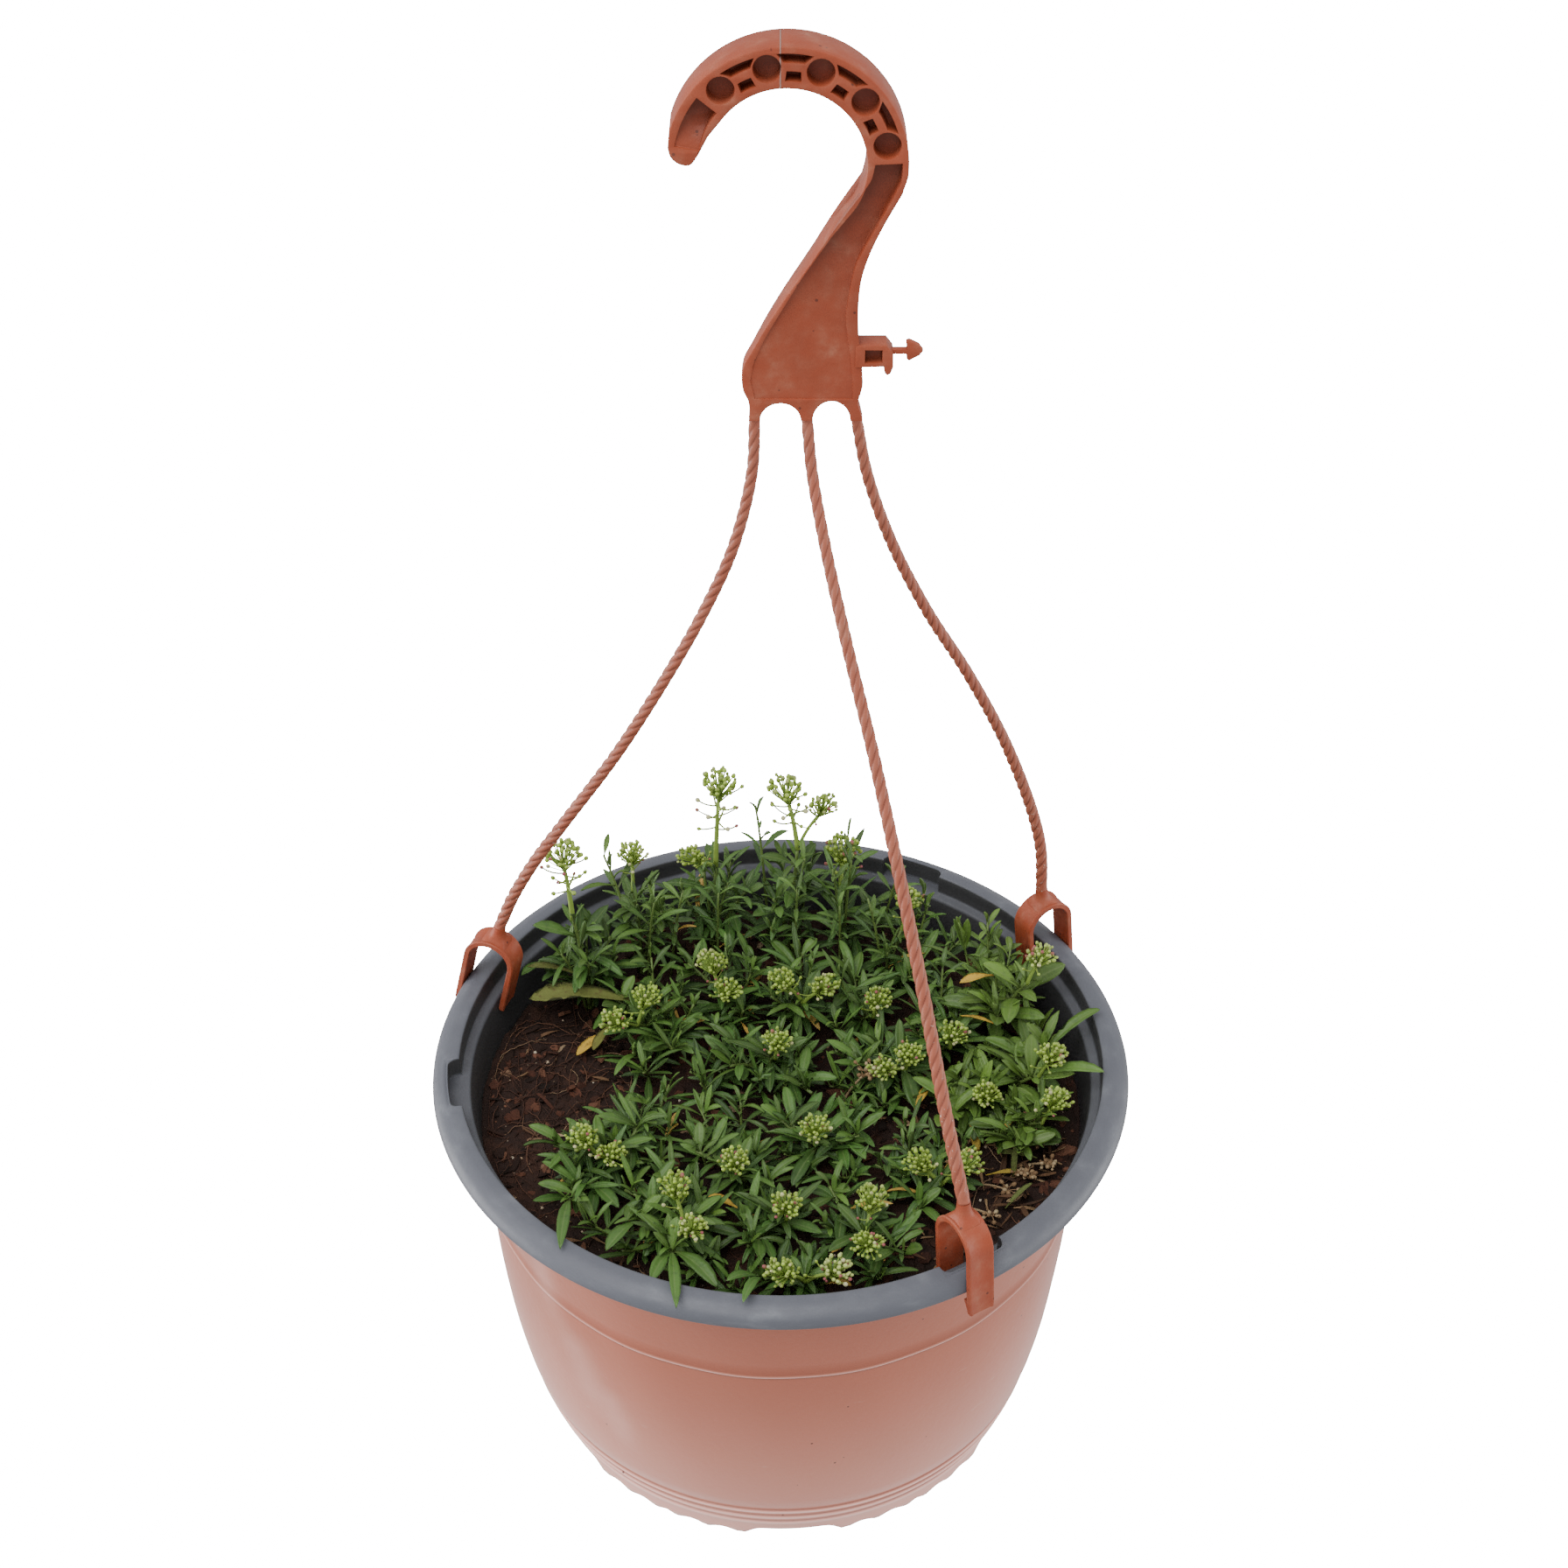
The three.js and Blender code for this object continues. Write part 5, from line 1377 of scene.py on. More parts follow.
class ALYSSUM_OT_strands(bpy.types.Operator):
    """Twist the three strands from the plate's legs to the clips"""

    bl_idname = "alyssum.strands"
    bl_label = "Strands"

    def execute(self, context):
        settings = context.scene.alyssum_hanger
        finish = hanger_finish(settings, dust=True)
        for name in CLIPS:
            route = even(strand_knots(name), STRAND_RINGS)
            start = route[0] + [0, 0, GAP + 0.4]
            end = route[-1] + unit(route[-1] - route[-3]) * (GAP + 0.4)
            route = np.concatenate([[start], route, [end]])
            run = np.concatenate([[0], np.cumsum(np.linalg.norm(np.diff(route, axis=0), axis=1))])
            share = run / run[-1]
            top, foot = STRAND_CROWNS
            radius = top + (foot - top) * share
            ends = np.clip(run / PLY_START, 0, 1) * np.clip((run[-1] - run) / PLY_END, 0, 1)
            depth = settings.groove * ends[:, None]
            turn = 2 * math.pi * run[:, None] / (settings.lay / MM)

            def lobes(angle, depth=depth, turn=turn):
                ply = np.abs(np.cos(2 * (angle - turn)))
                return 1 + depth * (0.3 - (1 - ply) ** 2 * 1.3)

            around = np.arange(STRAND_SIDES) * 2 * math.pi / STRAND_SIDES
            furrow = (1 - np.abs(np.cos(2 * (around[None, :] - turn)))) ** 3 * ends[:, None]
            points, faces = tube(route, radius, STRAND_SIDES, lobes)
            shape = Shape()
            shape.add(points, *faces, along=np.repeat(share, STRAND_SIDES), furrow=furrow.ravel())
            shape.piece(f"hanger_strand_{name}", finish, [f"strand_{name}"])
        return {"FINISHED"}


def strap_line():
    """The middle line of a clip's strap over the rim, and its direction at each point."""
    radius = CLIP_SPAN / 2 - CLIP_THICKNESS / 2
    middle = CLIP_THICKNESS - CLIP_SPAN / 2
    shoulder = CLIP_APEX - CLIP_SPAN / 2
    outer = [(middle + radius, z) for z in np.linspace(CLIP_OUTER_FOOT, shoulder, 12)]
    over = bow(middle, shoulder, radius, radius, 0, 180, 40)[1:]
    inner = [(middle - radius, z) for z in np.linspace(shoulder, CLIP_INNER_FOOT, 12)][1:]
    line = np.array([*outer, *over, *inner])
    return line, unit(np.gradient(line, axis=0))


class ALYSSUM_OT_clips(bpy.types.Operator):
    """Bend the three clips over the rim, each with its barb and neck"""

    bl_idname = "alyssum.clips"
    bl_label = "Clips"

    def execute(self, context):
        finish = hanger_finish(context.scene.alyssum_hanger)
        for name in CLIPS:
            shape = Shape()
            self.strap(shape)
            self.barb(shape)
            self.neck(shape)
            matrix = clip_place(name)
            shape.points = [moved(matrix, block) for block in shape.points]
            shape.piece(f"hanger_clip_{name}", finish, [f"clip_{name}"], 40)
        return {"FINISHED"}

    def strap(self, shape):
        """A strip with a raised edge on each side of its outer face."""
        half = CLIP_WIDTH / 2
        skin = CLIP_THICKNESS / 2
        section = [(-half, -skin + 0.3), (-half + 0.3, -skin), (half - 0.3, -skin),
                   (half, -skin + 0.3), (half, skin - 0.35), (half - 0.35, skin),
                   (half - 1.1, skin), (half - 1.5, skin - 0.3), (-half + 1.5, skin - 0.3),
                   (-half + 1.1, skin), (-half + 0.35, skin), (-half, skin - 0.35)]
        line, tangent = strap_line()
        outward = np.stack([tangent[:, 1], -tangent[:, 0]], -1)
        rings = []
        for k, ((x, z), (nx, nz)) in enumerate(zip(line, outward)):
            narrow = 0.94 if k in (0, len(line) - 1) else 1
            rings += [(x + nx * d, w * narrow, z + nz * d) for w, d in section]
        shape.add(rings, *closed_faces(len(line), len(section)))

    def barb(self, shape):
        """A wedge that catches under the skirt."""
        half = CLIP_WIDTH / 2 - 0.4
        wedge = [(0.3, CLIP_OUTER_FOOT + 0.3), (-BARB_REACH, BARB_TOP - 0.3),
                 (-BARB_REACH + 0.3, BARB_TOP), (0.3, BARB_TOP)]
        rings = np.array([[(x, w, z) for x, z in wedge] for w in (-half, half)])
        shape.add(rings.reshape(-1, 3), *closed_faces(2, len(wedge)))

    def neck(self, shape):
        """The neck spreads into the top of the arch."""
        middle = CLIP_THICKNESS - CLIP_SPAN / 2
        # height above the arch, half length, half width, and 1 for round or less for square
        levels = ((-1.6, 5.2, 5.0, 0.35), (-0.1, 4.4, 4.2, 0.45), (0.7, 3.6, 3.5, 0.6),
                  (1.8, 3.0, 3.0, 0.75), (3.4, 2.6, 2.6, 0.9), (NECK_LENGTH, 2.4, 2.4, 1.0))
        around = 28
        angle = np.arange(around) * 2 * math.pi / around
        rings = []
        for up, along, wide, power in levels:
            x = np.sign(np.cos(angle)) * np.abs(np.cos(angle)) ** power
            y = np.sign(np.sin(angle)) * np.abs(np.sin(angle)) ** power
            rings.append(np.stack([middle + along * x, wide * y,
                                   np.full(around, CLIP_APEX + up)], -1))
        shape.add(np.concatenate(rings), *closed_faces(len(levels), around))


HANGER_SPECK = (0.06, 0.012, 0.008)
HANGER_SCUFF = (0.52, 0.3, 0.2)
SEAM_PALE = (0.4, 0.3, 0.26)
SEAM_FROM = 0.545  # metres above the foot, where the mould line runs over the crook
# Painted shade in the hook's pockets.
POCKET_SHADE = (0.075, 0.018, 0.011)
STRAND_DUST = (0.46, 0.2, 0.14)
FURROW_SHADE = (0.09, 0.02, 0.012)
WORN_PALE = (0.62, 0.5, 0.42)


def hanger_finish(settings, seam=False, dust=False):
    """Red plastic, with the hook's mould line and painted shade in its pockets, or the strands'
    dust, wear and painted shade in the furrows between plies.
    """
    finish = Finish("hanger plastic", Specular_IOR_Level=0.32)
    cloud = finish.grain(60, 4)
    fine = finish.grain(900, 3)
    colour = finish.tinted(
        finish.blend(toned(settings.red, 0.82), toned(settings.red, 1.2), cloud),
        (HANGER_SPECK, finish.spots(160, 0.1) * 0.75),
        (HANGER_SCUFF, finish.grain(140, 5) ** 5 * 1.2),
    )
    rough = 0.4 + 0.14 * cloud + 0.1 * fine
    relief = fine * 0.7 + finish.grain(120, 2)
    if seam:
        across, height = finish.coordinate("X"), finish.coordinate("Z")
        off = finish.value("ShaderNodeMath", {"operation": "ABSOLUTE"}, {0: across + 0.0001})
        line = (1 - off.between(0.0001, 0.00032)) * (height > SEAM_FROM)
        relief = relief + line * 2
        # Painted shade in the pockets, stronger deeper down, mottled by noise.
        pocket_shade = finish.read("deep") * (0.45 + 0.55 * finish.grain(230, 5))
        colour = finish.tinted(colour, (SEAM_PALE, line * 0.6), (POCKET_SHADE, pocket_shade * 0.8))
    if dust:
        low = finish.read("along").between(0.45, 1.0)
        worn = finish.grain(640, 5).between(0.62, 0.7)
        furrow = finish.read("furrow")
        colour = finish.tinted(colour, (STRAND_DUST, 0.18 + 0.2 * cloud),
                               (FURROW_SHADE, furrow * 0.75), (WORN_PALE, worn * low * 0.6))
        rough = rough + 0.25 * worn * low
    finish.colour(colour)
    finish.rough(rough)
    finish.relief(relief, 0.00014)
    return finish


# -------------------- leaves and stems

# Along a blade: shares of its length, and its width there as shares of its full width. Across it:
# shares of its half width, and 1 on the upper face or 0 on the lower.
BLADE_STATIONS = np.array([0, 0.13, 0.3, 0.48, 0.66, 0.82, 0.94, 1.0])
BLADE_WIDTHS = np.array([0.2, 0.26, 0.62, 0.93, 1.0, 0.8, 0.36, 0.0])
BLADE_ACROSS = np.array([-1, -0.5, 0, 0.5, 1, 0])
BLADE_ABOVE = np.array([1, 1, 1, 1, 1, 0])


def spine_of(leaf):
    """Points of a leaf's spine at the blade's stations."""
    if "tip" in leaf:
        return curve(leaf["root"], leaf["middle"], leaf["tip"], BLADE_STATIONS)
    slope = np.radians(leaf["pitch"] - leaf["droop"] * np.maximum(0, BLADE_STATIONS - 0.18))
    middle = (slope[1:] + slope[:-1]) / 2
    step = np.diff(BLADE_STATIONS) * leaf["length"]
    turn = math.radians(leaf["azimuth"])
    out = np.concatenate([[0], np.cumsum(np.cos(middle) * step)])
    up = np.concatenate([[0], np.cumsum(np.sin(middle) * step)])
    return leaf["root"] + np.stack([out * math.cos(turn), out * math.sin(turn), up], -1)


def add_blade(shape, leaf, draw):
    """A lance-shaped blade with a sunk midrib above and a keel below."""
    spine = spine_of(leaf)
    half = leaf["width"] / 2
    run = spine[-1] - spine[0]
    flat = unit(np.array([-run[1], run[0], 0.0]))
    ahead = unit(np.gradient(spine, axis=0))
    above = unit(np.cross(ahead, flat))
    above *= np.where(above[:, 2:3] < 0, -1, 1)
    roll = draw.normal(0, 0.22)
    twist = roll + draw.normal(0, 0.25) * BLADE_STATIONS
    across = flat * np.cos(twist)[:, None] + above * np.sin(twist)[:, None]
    normal = above * np.cos(twist)[:, None] - flat * np.sin(twist)[:, None]
    fold = draw.uniform(0.12, 0.4)
    wave = draw.uniform(0, 0.12) * half
    phase = draw.uniform(0, 6.28)
    u = BLADE_ACROSS[None, :]
    width = half * BLADE_WIDTHS[:, None]
    side = u * width
    lift = np.abs(u) ** 1.3 * width * fold
    lift = lift + np.sign(u) * np.abs(u) * wave * np.sin(BLADE_STATIONS[:, None] * 9 + phase)
    groove = np.where(u == 0, 0.14, 0.0) * (width / half)
    skin = 0.34 - 0.18 * np.abs(u) + np.where(u == 0, 0.28 * (1 - 0.5 * BLADE_STATIONS[:, None]), 0)
    depth = lift - np.where(BLADE_ABOVE == 1, groove, skin)
    points = (spine[:, None, :] + across[:, None, :] * side[..., None]
              + normal[:, None, :] * depth[..., None])
    rings = len(BLADE_STATIONS) - 1
    around = len(BLADE_ACROSS)
    body = points[:rings].reshape(-1, 3)
    everything = np.concatenate([body, spine[-1:]])
    along = np.append(np.repeat(BLADE_STATIONS[:rings], around), 1.0)
    shape.add(
        everything, ring_faces(rings, around), fan_faces(rings, around, rings * around),
        np.arange(around)[::-1][None, :],
        along=along, across=np.append(np.tile(np.abs(BLADE_ACROSS), rings), 0),
        above=np.append(np.tile(BLADE_ABOVE, rings), 1), tone=leaf.get("tone", draw.random()),
        young=leaf.get("young", 0.0), wither=leaf.get("wither", 0.0),
    )


def extra_leaves(seed, shoot, size, count, young, first=0.42):
    """More leaves on a shoot than the solids carry, small and upright near its tip."""
    draw = np.random.default_rng(seed)
    length, width = size
    leaves = []
    for i in range(count * 3):
        if len(leaves) == count:
            break
        share = (len(leaves) + draw.random()) / count
        along = first + (1 - first) * share
        scale = draw.uniform(0.6, 1.3) * (1 - 0.55 * max(0, share - 0.6) / 0.4)
        leaf = {
            "root": through(shoot, min(along, 1.0)),
            "azimuth": seed * 33 + len(leaves) * GOLDEN_ANGLE + draw.normal(0, 18) + i * 7,
            "pitch": 18 + 56 * share ** 1.2 + draw.normal(0, 15),
            "droop": draw.uniform(0, 95),
            "length": length * scale,
            "width": width * scale ** 0.5 * draw.uniform(0.42, 0.82),
            "tone": draw.random(),
            "young": np.clip(young + (share - 0.6) * 0.8 + draw.normal(0, 0.1), 0, 1),
            "wither": 1.0 if draw.random() < 0.02 and share < 0.45 else 0.0,
        }
        spine = spine_of(leaf)
        if free_of_pot(spine[2:], leaf["width"] * 0.35):
            leaves.append(leaf)
    return leaves


# Patches where the mix shows: middle, half widths, and the share of shoots that still grow there.
BARE_PATCHES = (
    (-92, 4, 32, 44, 0.0), (-104, -40, 20, 40, 0.0), (96, -56, 34, 26, 0.0),
    (66, -84, 26, 20, 0.0), (50, -14, 15, 12, 0.3), (42, 72, 18, 15, 0.35), (102, -26, 14, 9, 0.2),
)


def planted(x, y):
    """The share of the crowd that grows at a spot."""
    share = 1.0
    for cx, cy, rx, ry, left in BARE_PATCHES:
        if ((x - cx) / rx) ** 2 + ((y - cy) / ry) ** 2 < 1:
            share = min(share, left)
    return share


# Low shoots: how many spots are tried, how far out, how widely a tip's height carries, and how
# far from a tip one may stand. From BACK_START on they rise by up to BACK_RISE over BACK_RUN.
SHOOT_SEED = 41
SHOOT_TRIES = 5000
SHOOT_REACH = 107
TIP_SPREAD = 15
TIP_FARTHEST = 26
BACK_RISE = 33
BACK_START = 20
BACK_RUN = 50
# Where each branch's draws start: its own, its extra leaves' and its low shoots'.
BRANCH_SEED = 700
LEAF_SEED = 5000
LOW_SHOOT_SEED = 20000
BROAD_LEAVED = 5.5  # leaf width from which a branch is pale all over


def canopy():
    """Spots and heights that the branches' own shoots reach."""
    tips = [tip for branch in BRANCHES for tip in (branch[1], *branch[2])]
    return np.array(tips, float)


def low_shoots(settings):
    """Short shoots that fill the plants out between the branches, by the nearest branch."""
    draw = np.random.default_rng(SHOOT_SEED)
    tips = canopy()
    feet = np.array([branch[0] for branch in BRANCHES], float)
    taken = tips[:, :2]
    found = {number: [] for number in range(len(BRANCHES))}
    for _ in range(SHOOT_TRIES):
        spot = np.array(anywhere(draw, SHOOT_REACH))
        if draw.random() > planted(*spot):
            continue
        if np.min(np.linalg.norm(taken - spot, axis=1)) < settings.spacing / MM:
            continue
        near = np.linalg.norm(tips[:, :2] - spot, axis=1)
        weight = np.exp(-(near / TIP_SPREAD) ** 2 / 2) + 1e-9
        if near.min() > TIP_FARTHEST:
            continue
        height = np.sum(weight * tips[:, 2]) / np.sum(weight) * draw.uniform(0.5, 1.0)
        back = min(1, max(0, (spot[1] - BACK_START) / BACK_RUN))
        height += BACK_RISE * back * draw.random() ** 0.8
        away = np.linalg.norm(feet - spot, axis=1)
        owner = int(np.argmin(away))
        lean = min(1.0, draw.uniform(6, 14) / max(away[owner], 1e-6))
        foot = spot + (feet[owner] - spot) * lean
        start = np.array([*foot, mix_height(*foot) - 1.5])
        found[owner].append(shoot_points(start, above_mix((*spot, max(height, 8))), 6))
        taken = np.vstack([taken, spot])
    return found


def add_shoot(shape, path, radii, sides):
    """A green stem, coloured like a young leaf near its root."""
    points, faces = tube(path, radii, sides)
    shape.add(points, *faces, along=0.1, across=0.6, above=1.0, tone=0.5, young=0.55)


class ALYSSUM_OT_branches(bpy.types.Operator):
    """Grow the leafy branches"""

    bl_idname = "alyssum.branches"
    bl_label = "Branches"

    def execute(self, context):
        settings = context.scene.alyssum_plants
        finish = leaf_finish(settings)
        crowd = Crowd()
        claim_fixed(crowd)
        fillers = low_shoots(settings)
        for number, branch in enumerate(BRANCHES):
            draw = np.random.default_rng(BRANCH_SEED + number)
            shape = Shape()
            broad = branch[3][1] > BROAD_LEAVED
            young = 0.75 if broad else 0.12 + 0.25 * draw.random()
            shoots = branch_shoots(branch)
            for k, shoot in enumerate(branch_shoots(branch, 12)):
                thick = np.linspace(1.15 if k == 0 else 0.95, 0.62, len(shoot))
                add_shoot(shape, shoot, thick, 8)
            leaves = large_leaves(branch, shoots)
            for k, shoot in enumerate(shoots):
                count = LEAVES_ON_SIDE if k else LEAVES_ON_TIP
                kept = place_leaves(crowd, number, k, shoot, count, branch[3])
                for leaf in kept:
                    leaf["young"] = np.clip(young + (leaf["share"] - 0.6) * 0.5, 0, 1)
                leaves += kept
                seed = LEAF_SEED + number * 17 + k
                leaves += extra_leaves(seed, shoot, branch[3], settings.fullness, young)
            for k, shoot in enumerate(fillers[number]):
                add_shoot(shape, shoot, np.linspace(0.75, 0.45, len(shoot)), 6)
                size = np.array(branch[3]) * draw.uniform(0.75, 1.0)
                seed = LOW_SHOOT_SEED + number * 61 + k
                leaves += extra_leaves(seed, shoot, size, settings.fullness + 1, young, 0.2)
            for leaf in leaves:
                leaf.setdefault("young", young * 0.6)
                add_blade(shape, leaf, draw)
            label = f"{number + 1:02d}"
            shape.piece(f"alyssum_branch_{label}", finish, [f"branch_{label}"])
        return {"FINISHED"}


MIDRIB_PALE = (0.16, 0.22, 0.075)
UNDERSIDE = (0.13, 0.18, 0.07)
LEAF_ROOT = (0.17, 0.2, 0.07)
LEAF_SHADE = (0.028, 0.06, 0.02)
LEAF_WITHERED = (0.52, 0.33, 0.07)


def leaf_finish(settings):
    finish = Finish("alyssum leaf", Specular_IOR_Level=0.45)
    along, across = finish.read("along"), finish.read("across")
    above, tone = finish.read("above"), finish.read("tone")
    grown = finish.blend(toned(settings.leaf, 0.62), toned(settings.leaf, 1.5), tone)
    fresh = finish.blend(toned(settings.young, 0.75), toned(settings.young, 1.25), tone)
    patch = finish.grain(260, 4)
    finish.colour(finish.tinted(
        finish.blend(grown, fresh, finish.read("young")),
        (MIDRIB_PALE, (1 - across.between(0.0, 0.2)) * above * 0.36),
        (UNDERSIDE, (1 - above) * 0.5),
        (LEAF_ROOT, (1 - along.between(0.0, 0.25)) * 0.5),
        (LEAF_SHADE, patch.between(0.5, 0.8) * 0.55),
        (LEAF_WITHERED, finish.read("wither") * patch.between(0.2, 0.5)),
    ))
    finish.rough(0.42 + 0.2 * patch + 0.12 * (1 - above))
    finish.relief(finish.grain(900, 3) + across * 0.5, 0.00018)
    return finish


# -------------------- flower sprays


def bud_mesh(centre, axis, radius, half_length, around=8, rows=5):
    """An egg-shaped bud about its axis: rings of points between two poles."""
    axis = unit(np.asarray(axis, float))
    side = np.array([1.0, 0, 0]) if abs(axis[0]) < 0.8 else np.array([0, 1.0, 0])
    across = unit(np.cross(axis, side))
    up = np.cross(axis, across)
    tilt = np.linspace(-math.pi / 2, math.pi / 2, rows + 1)[1:-1]
    angle = np.arange(around) * 2 * math.pi / around
    wide = radius * np.cos(tilt) * (1 - 0.12 * np.sin(tilt))
    rings = (centre + axis * (half_length * np.sin(tilt))[:, None, None]
             + across * (wide[:, None] * np.cos(angle))[..., None]
             + up * (wide[:, None] * np.sin(angle))[..., None])
    poles = np.stack([centre - axis * half_length, centre + axis * half_length])
    points = np.concatenate([rings.reshape(-1, 3), poles])
    first = len(tilt) * around
    near = np.arange(around)
    base = np.stack([(near + 1) % around, near, np.full(around, first)], -1)
    return points, [ring_faces(len(tilt), around), base, fan_faces(len(tilt), around, first + 1)]


BUD_SIDES = 7
BUD_LEVELS = (0.2, 0.5, 0.8)  # how far up the bud each ring of its points lies


def add_bud(shape, centre, axis, radius, tone, blush, pale):
    rows = len(BUD_LEVELS) + 1
    points, faces = bud_mesh(centre, axis, radius, radius * 1.15, BUD_SIDES, rows)
    along = np.concatenate([np.repeat(BUD_LEVELS, BUD_SIDES), [0, 1]])
    shape.add(points, *faces, along=along, tone=tone, blush=blush, pale=pale, stalk=0.0)


def add_stalk(shape, path, radii, sides, blush, tone=0.5):
    points, faces = tube(path, radii, sides)
    shape.add(points, *faces, along=0.0, tone=tone, blush=blush, pale=0.0, stalk=1.0)


def add_head(shape, centre, axis, buds, draw, faded=0.0, size=1.0):
    """Buds on fine stalks that fan out from the shoot's last few millimetres into a dome."""
    for i in range(buds):
        level = 1 - 1.3 * (i + 0.5) / buds
        turn = i * GOLDEN_TURN + draw.normal(0, 0.25)
        flat = math.sqrt(max(0, 1 - level * level))
        way = np.array([flat * math.cos(turn), flat * math.sin(turn), level])
        reach = HEAD_RADIUS * size * draw.uniform(0.68, 1.06) * np.array([1, 1, HEAD_FLATNESS])
        radius = draw.uniform(0.56, 0.92) * size
        spot = centre + way * (reach - radius * 0.8)
        base = centre - axis * (HEAD_RADIUS * size * (0.85 - 0.5 * level))
        knee = centre * 0.4 + base * 0.6 + way * np.array([1, 1, 0.3]) * reach * 0.45
        add_stalk(shape, arch(base, knee, spot, 3), np.linspace(0.3, 0.22, 4), 4, 0.0, 0.9)
        add_bud(shape, spot, spot - knee, radius, np.clip(draw.normal(0.5, 0.24) + faded, 0, 1),
                float(draw.random() < 0.03 + 0.3 * faded),
                faded + float(draw.random() < 0.16) * draw.random())


def add_bare_stalks(shape, top, foot, count, draw, longest, thick=1.0):
    """Stalks that have dropped their flowers, each with a small pod or a faded end."""
    for i in range(count):
        share = i / count
        root = top + (foot - top) * (0.05 + 0.5 * share)
        turn = i * GOLDEN_TURN
        out = longest * draw.uniform(0.55, 1.0)
        way = np.array([math.cos(turn), math.sin(turn), 0.0])
        tip = root + way * out + [0, 0, out * draw.uniform(0.15, 0.55)]
        knee = root + way * out * 0.6
        add_stalk(shape, arch(root, knee, tip, 4), thick * np.linspace(0.36, 0.24, 5), 4, 0.12, 0.8)
        kind = draw.random()
        add_bud(shape, tip, tip - knee, thick * (0.5 + 0.3 * kind), 0.35 + 0.3 * kind,
                float(kind < 0.35), float(kind > 0.75))


SPRAY_SEED = 9000
# By branch: bare stalks below the first head of a tall spray, and how faded a spray's buds are.
TALL_SPRAYS = {0: 13, 2: 14, 3: 13, 4: 9}
FADED_SPRAYS = {24: 0.45, 13: 0.25}
ALL_FADED = 13  # on the other branches only the second head is faded


class ALYSSUM_OT_sprays(bpy.types.Operator):
    """Set the flower heads on their stalks"""

    bl_idname = "alyssum.sprays"
    bl_label = "Flower sprays"

    def execute(self, context):
        settings = context.scene.alyssum_plants
        finish = bud_finish(settings)
        for number, branch in enumerate(BRANCHES):
            draw = np.random.default_rng(SPRAY_SEED + number)
            shape = Shape()
            tip = above_mix(branch[1])
            for k, place in enumerate(head_places(branch)):
                stalk = shoot_points(tip + [0, 0, -1.0], place - [0, 0, 2.0], 10)
                tall = k == 0 and number in TALL_SPRAYS
                thick = 1.15 if tall else 0.85
                add_stalk(shape, stalk, np.linspace(thick, 0.65, len(stalk)), 8, 0.0)
                axis = unit(unit(stalk[-1] - stalk[-3]) + [0, 0, 0.6])
                fading = k == 1 or number == ALL_FADED
                faded = FADED_SPRAYS.get(number, 0.0) if fading else 0.0
                add_head(shape, place, axis, settings.buds, draw, faded, 1.25 if tall else 1.0)
                below = place - axis * HEAD_RADIUS * 0.5
                count, longest, bold = (TALL_SPRAYS[number], 10.5, 1.4) if tall else (5, 6.5, 1.0)
                add_bare_stalks(shape, below, tip, count, draw, longest, bold)
            label = f"{number + 1:02d}"
            shape.piece(f"alyssum_flowers_{label}", finish, [f"flower_spray_{label}"])
        return {"FINISHED"}


BUD_CREAM = (0.56, 0.52, 0.3)
STALK_GREEN = (0.2, 0.3, 0.055)
BUD_BLUSH = (0.3, 0.05, 0.09)
BUD_SHADE = (0.08, 0.14, 0.02)


def bud_finish(settings):
    finish = Finish("alyssum bud", Specular_IOR_Level=0.4)
    along, tone, stalk = finish.read("along"), finish.read("tone"), finish.read("stalk")
    patch = finish.grain(700, 3)
    finish.colour(finish.tinted(
        finish.blend(toned(settings.bud, 0.6), toned(settings.bud, 1.45), tone),
        (BUD_CREAM, along.between(0.55, 0.95) * 0.16 + finish.read("pale") * 0.7),
        (STALK_GREEN, stalk * 0.75),
        (BUD_BLUSH, finish.read("blush") * (0.5 + 0.5 * along)),
        (BUD_SHADE, patch.between(0.5, 0.85) * 0.35),
    ))
    finish.rough(0.5 + 0.2 * patch)
    finish.relief(patch, 0.0002)
    return finish


# -------------------- litter

LITTER_SEED = 61
LITTER_REACH = 106
DRY_PATCHES = (  # middle, half widths, leaves
    (92, -42, 18, 24, 46), (66, -80, 20, 14, 22), (50, -20, 16, 12, 12), (-92, 0, 22, 40, 8),
    (84, -20, 12, 8, 8), (-70, -76, 14, 12, 6),
)
LONE_LEAVES = (  # root above the mix, azimuth, pitch, length, width, tone
    ((-16, -72, 15), 150, 10, 13, 4.2, 1.0), ((84, 16, 26), 160, 12, 14, 4.0, 1.0),
    ((52, -16, 10), 60, 30, 12, 3.2, 1.0), ((86, 40, 30), 190, 5, 15, 4.4, 1.0),
    ((-70, 30, 8), 215, -4, 16, 4.6, 1.0), ((90, -34, 15), 262, -42, 17, 2.6, 0.92),
    ((73, -22, 9), 292, -30, 12, 3.6, 0.97), ((98, -38, 6), 170, 15, 16, 2.8, 0.92),
    ((78, -44, 3), 10, 8, 18, 2.4, 0.97), ((84, -62, 4), 40, 30, 15, 3.0, 0.92),
    ((-60, 36, 20), 184, 18, 42, 12.0, 0.925), ((-83, 50, 22), 176, 20, 21, 5.6, 0.925),
    ((-68, 29, 14), 236, -8, 14, 5.0, 0.93),
)
WITHERED_STEPS = 12
WITHERED_SPRAYS = (  # top above the mix, shrivelled flowers
    ((37, -6, 20), 30), ((101, -30, 7), 26), ((104, -41, 5), 22), ((95, -45, 4), 26),
    ((86, -52, 3), 12), ((97, -20, 9), 12), ((59, -44, 8), 12), ((79, -66, 4), 10),
)


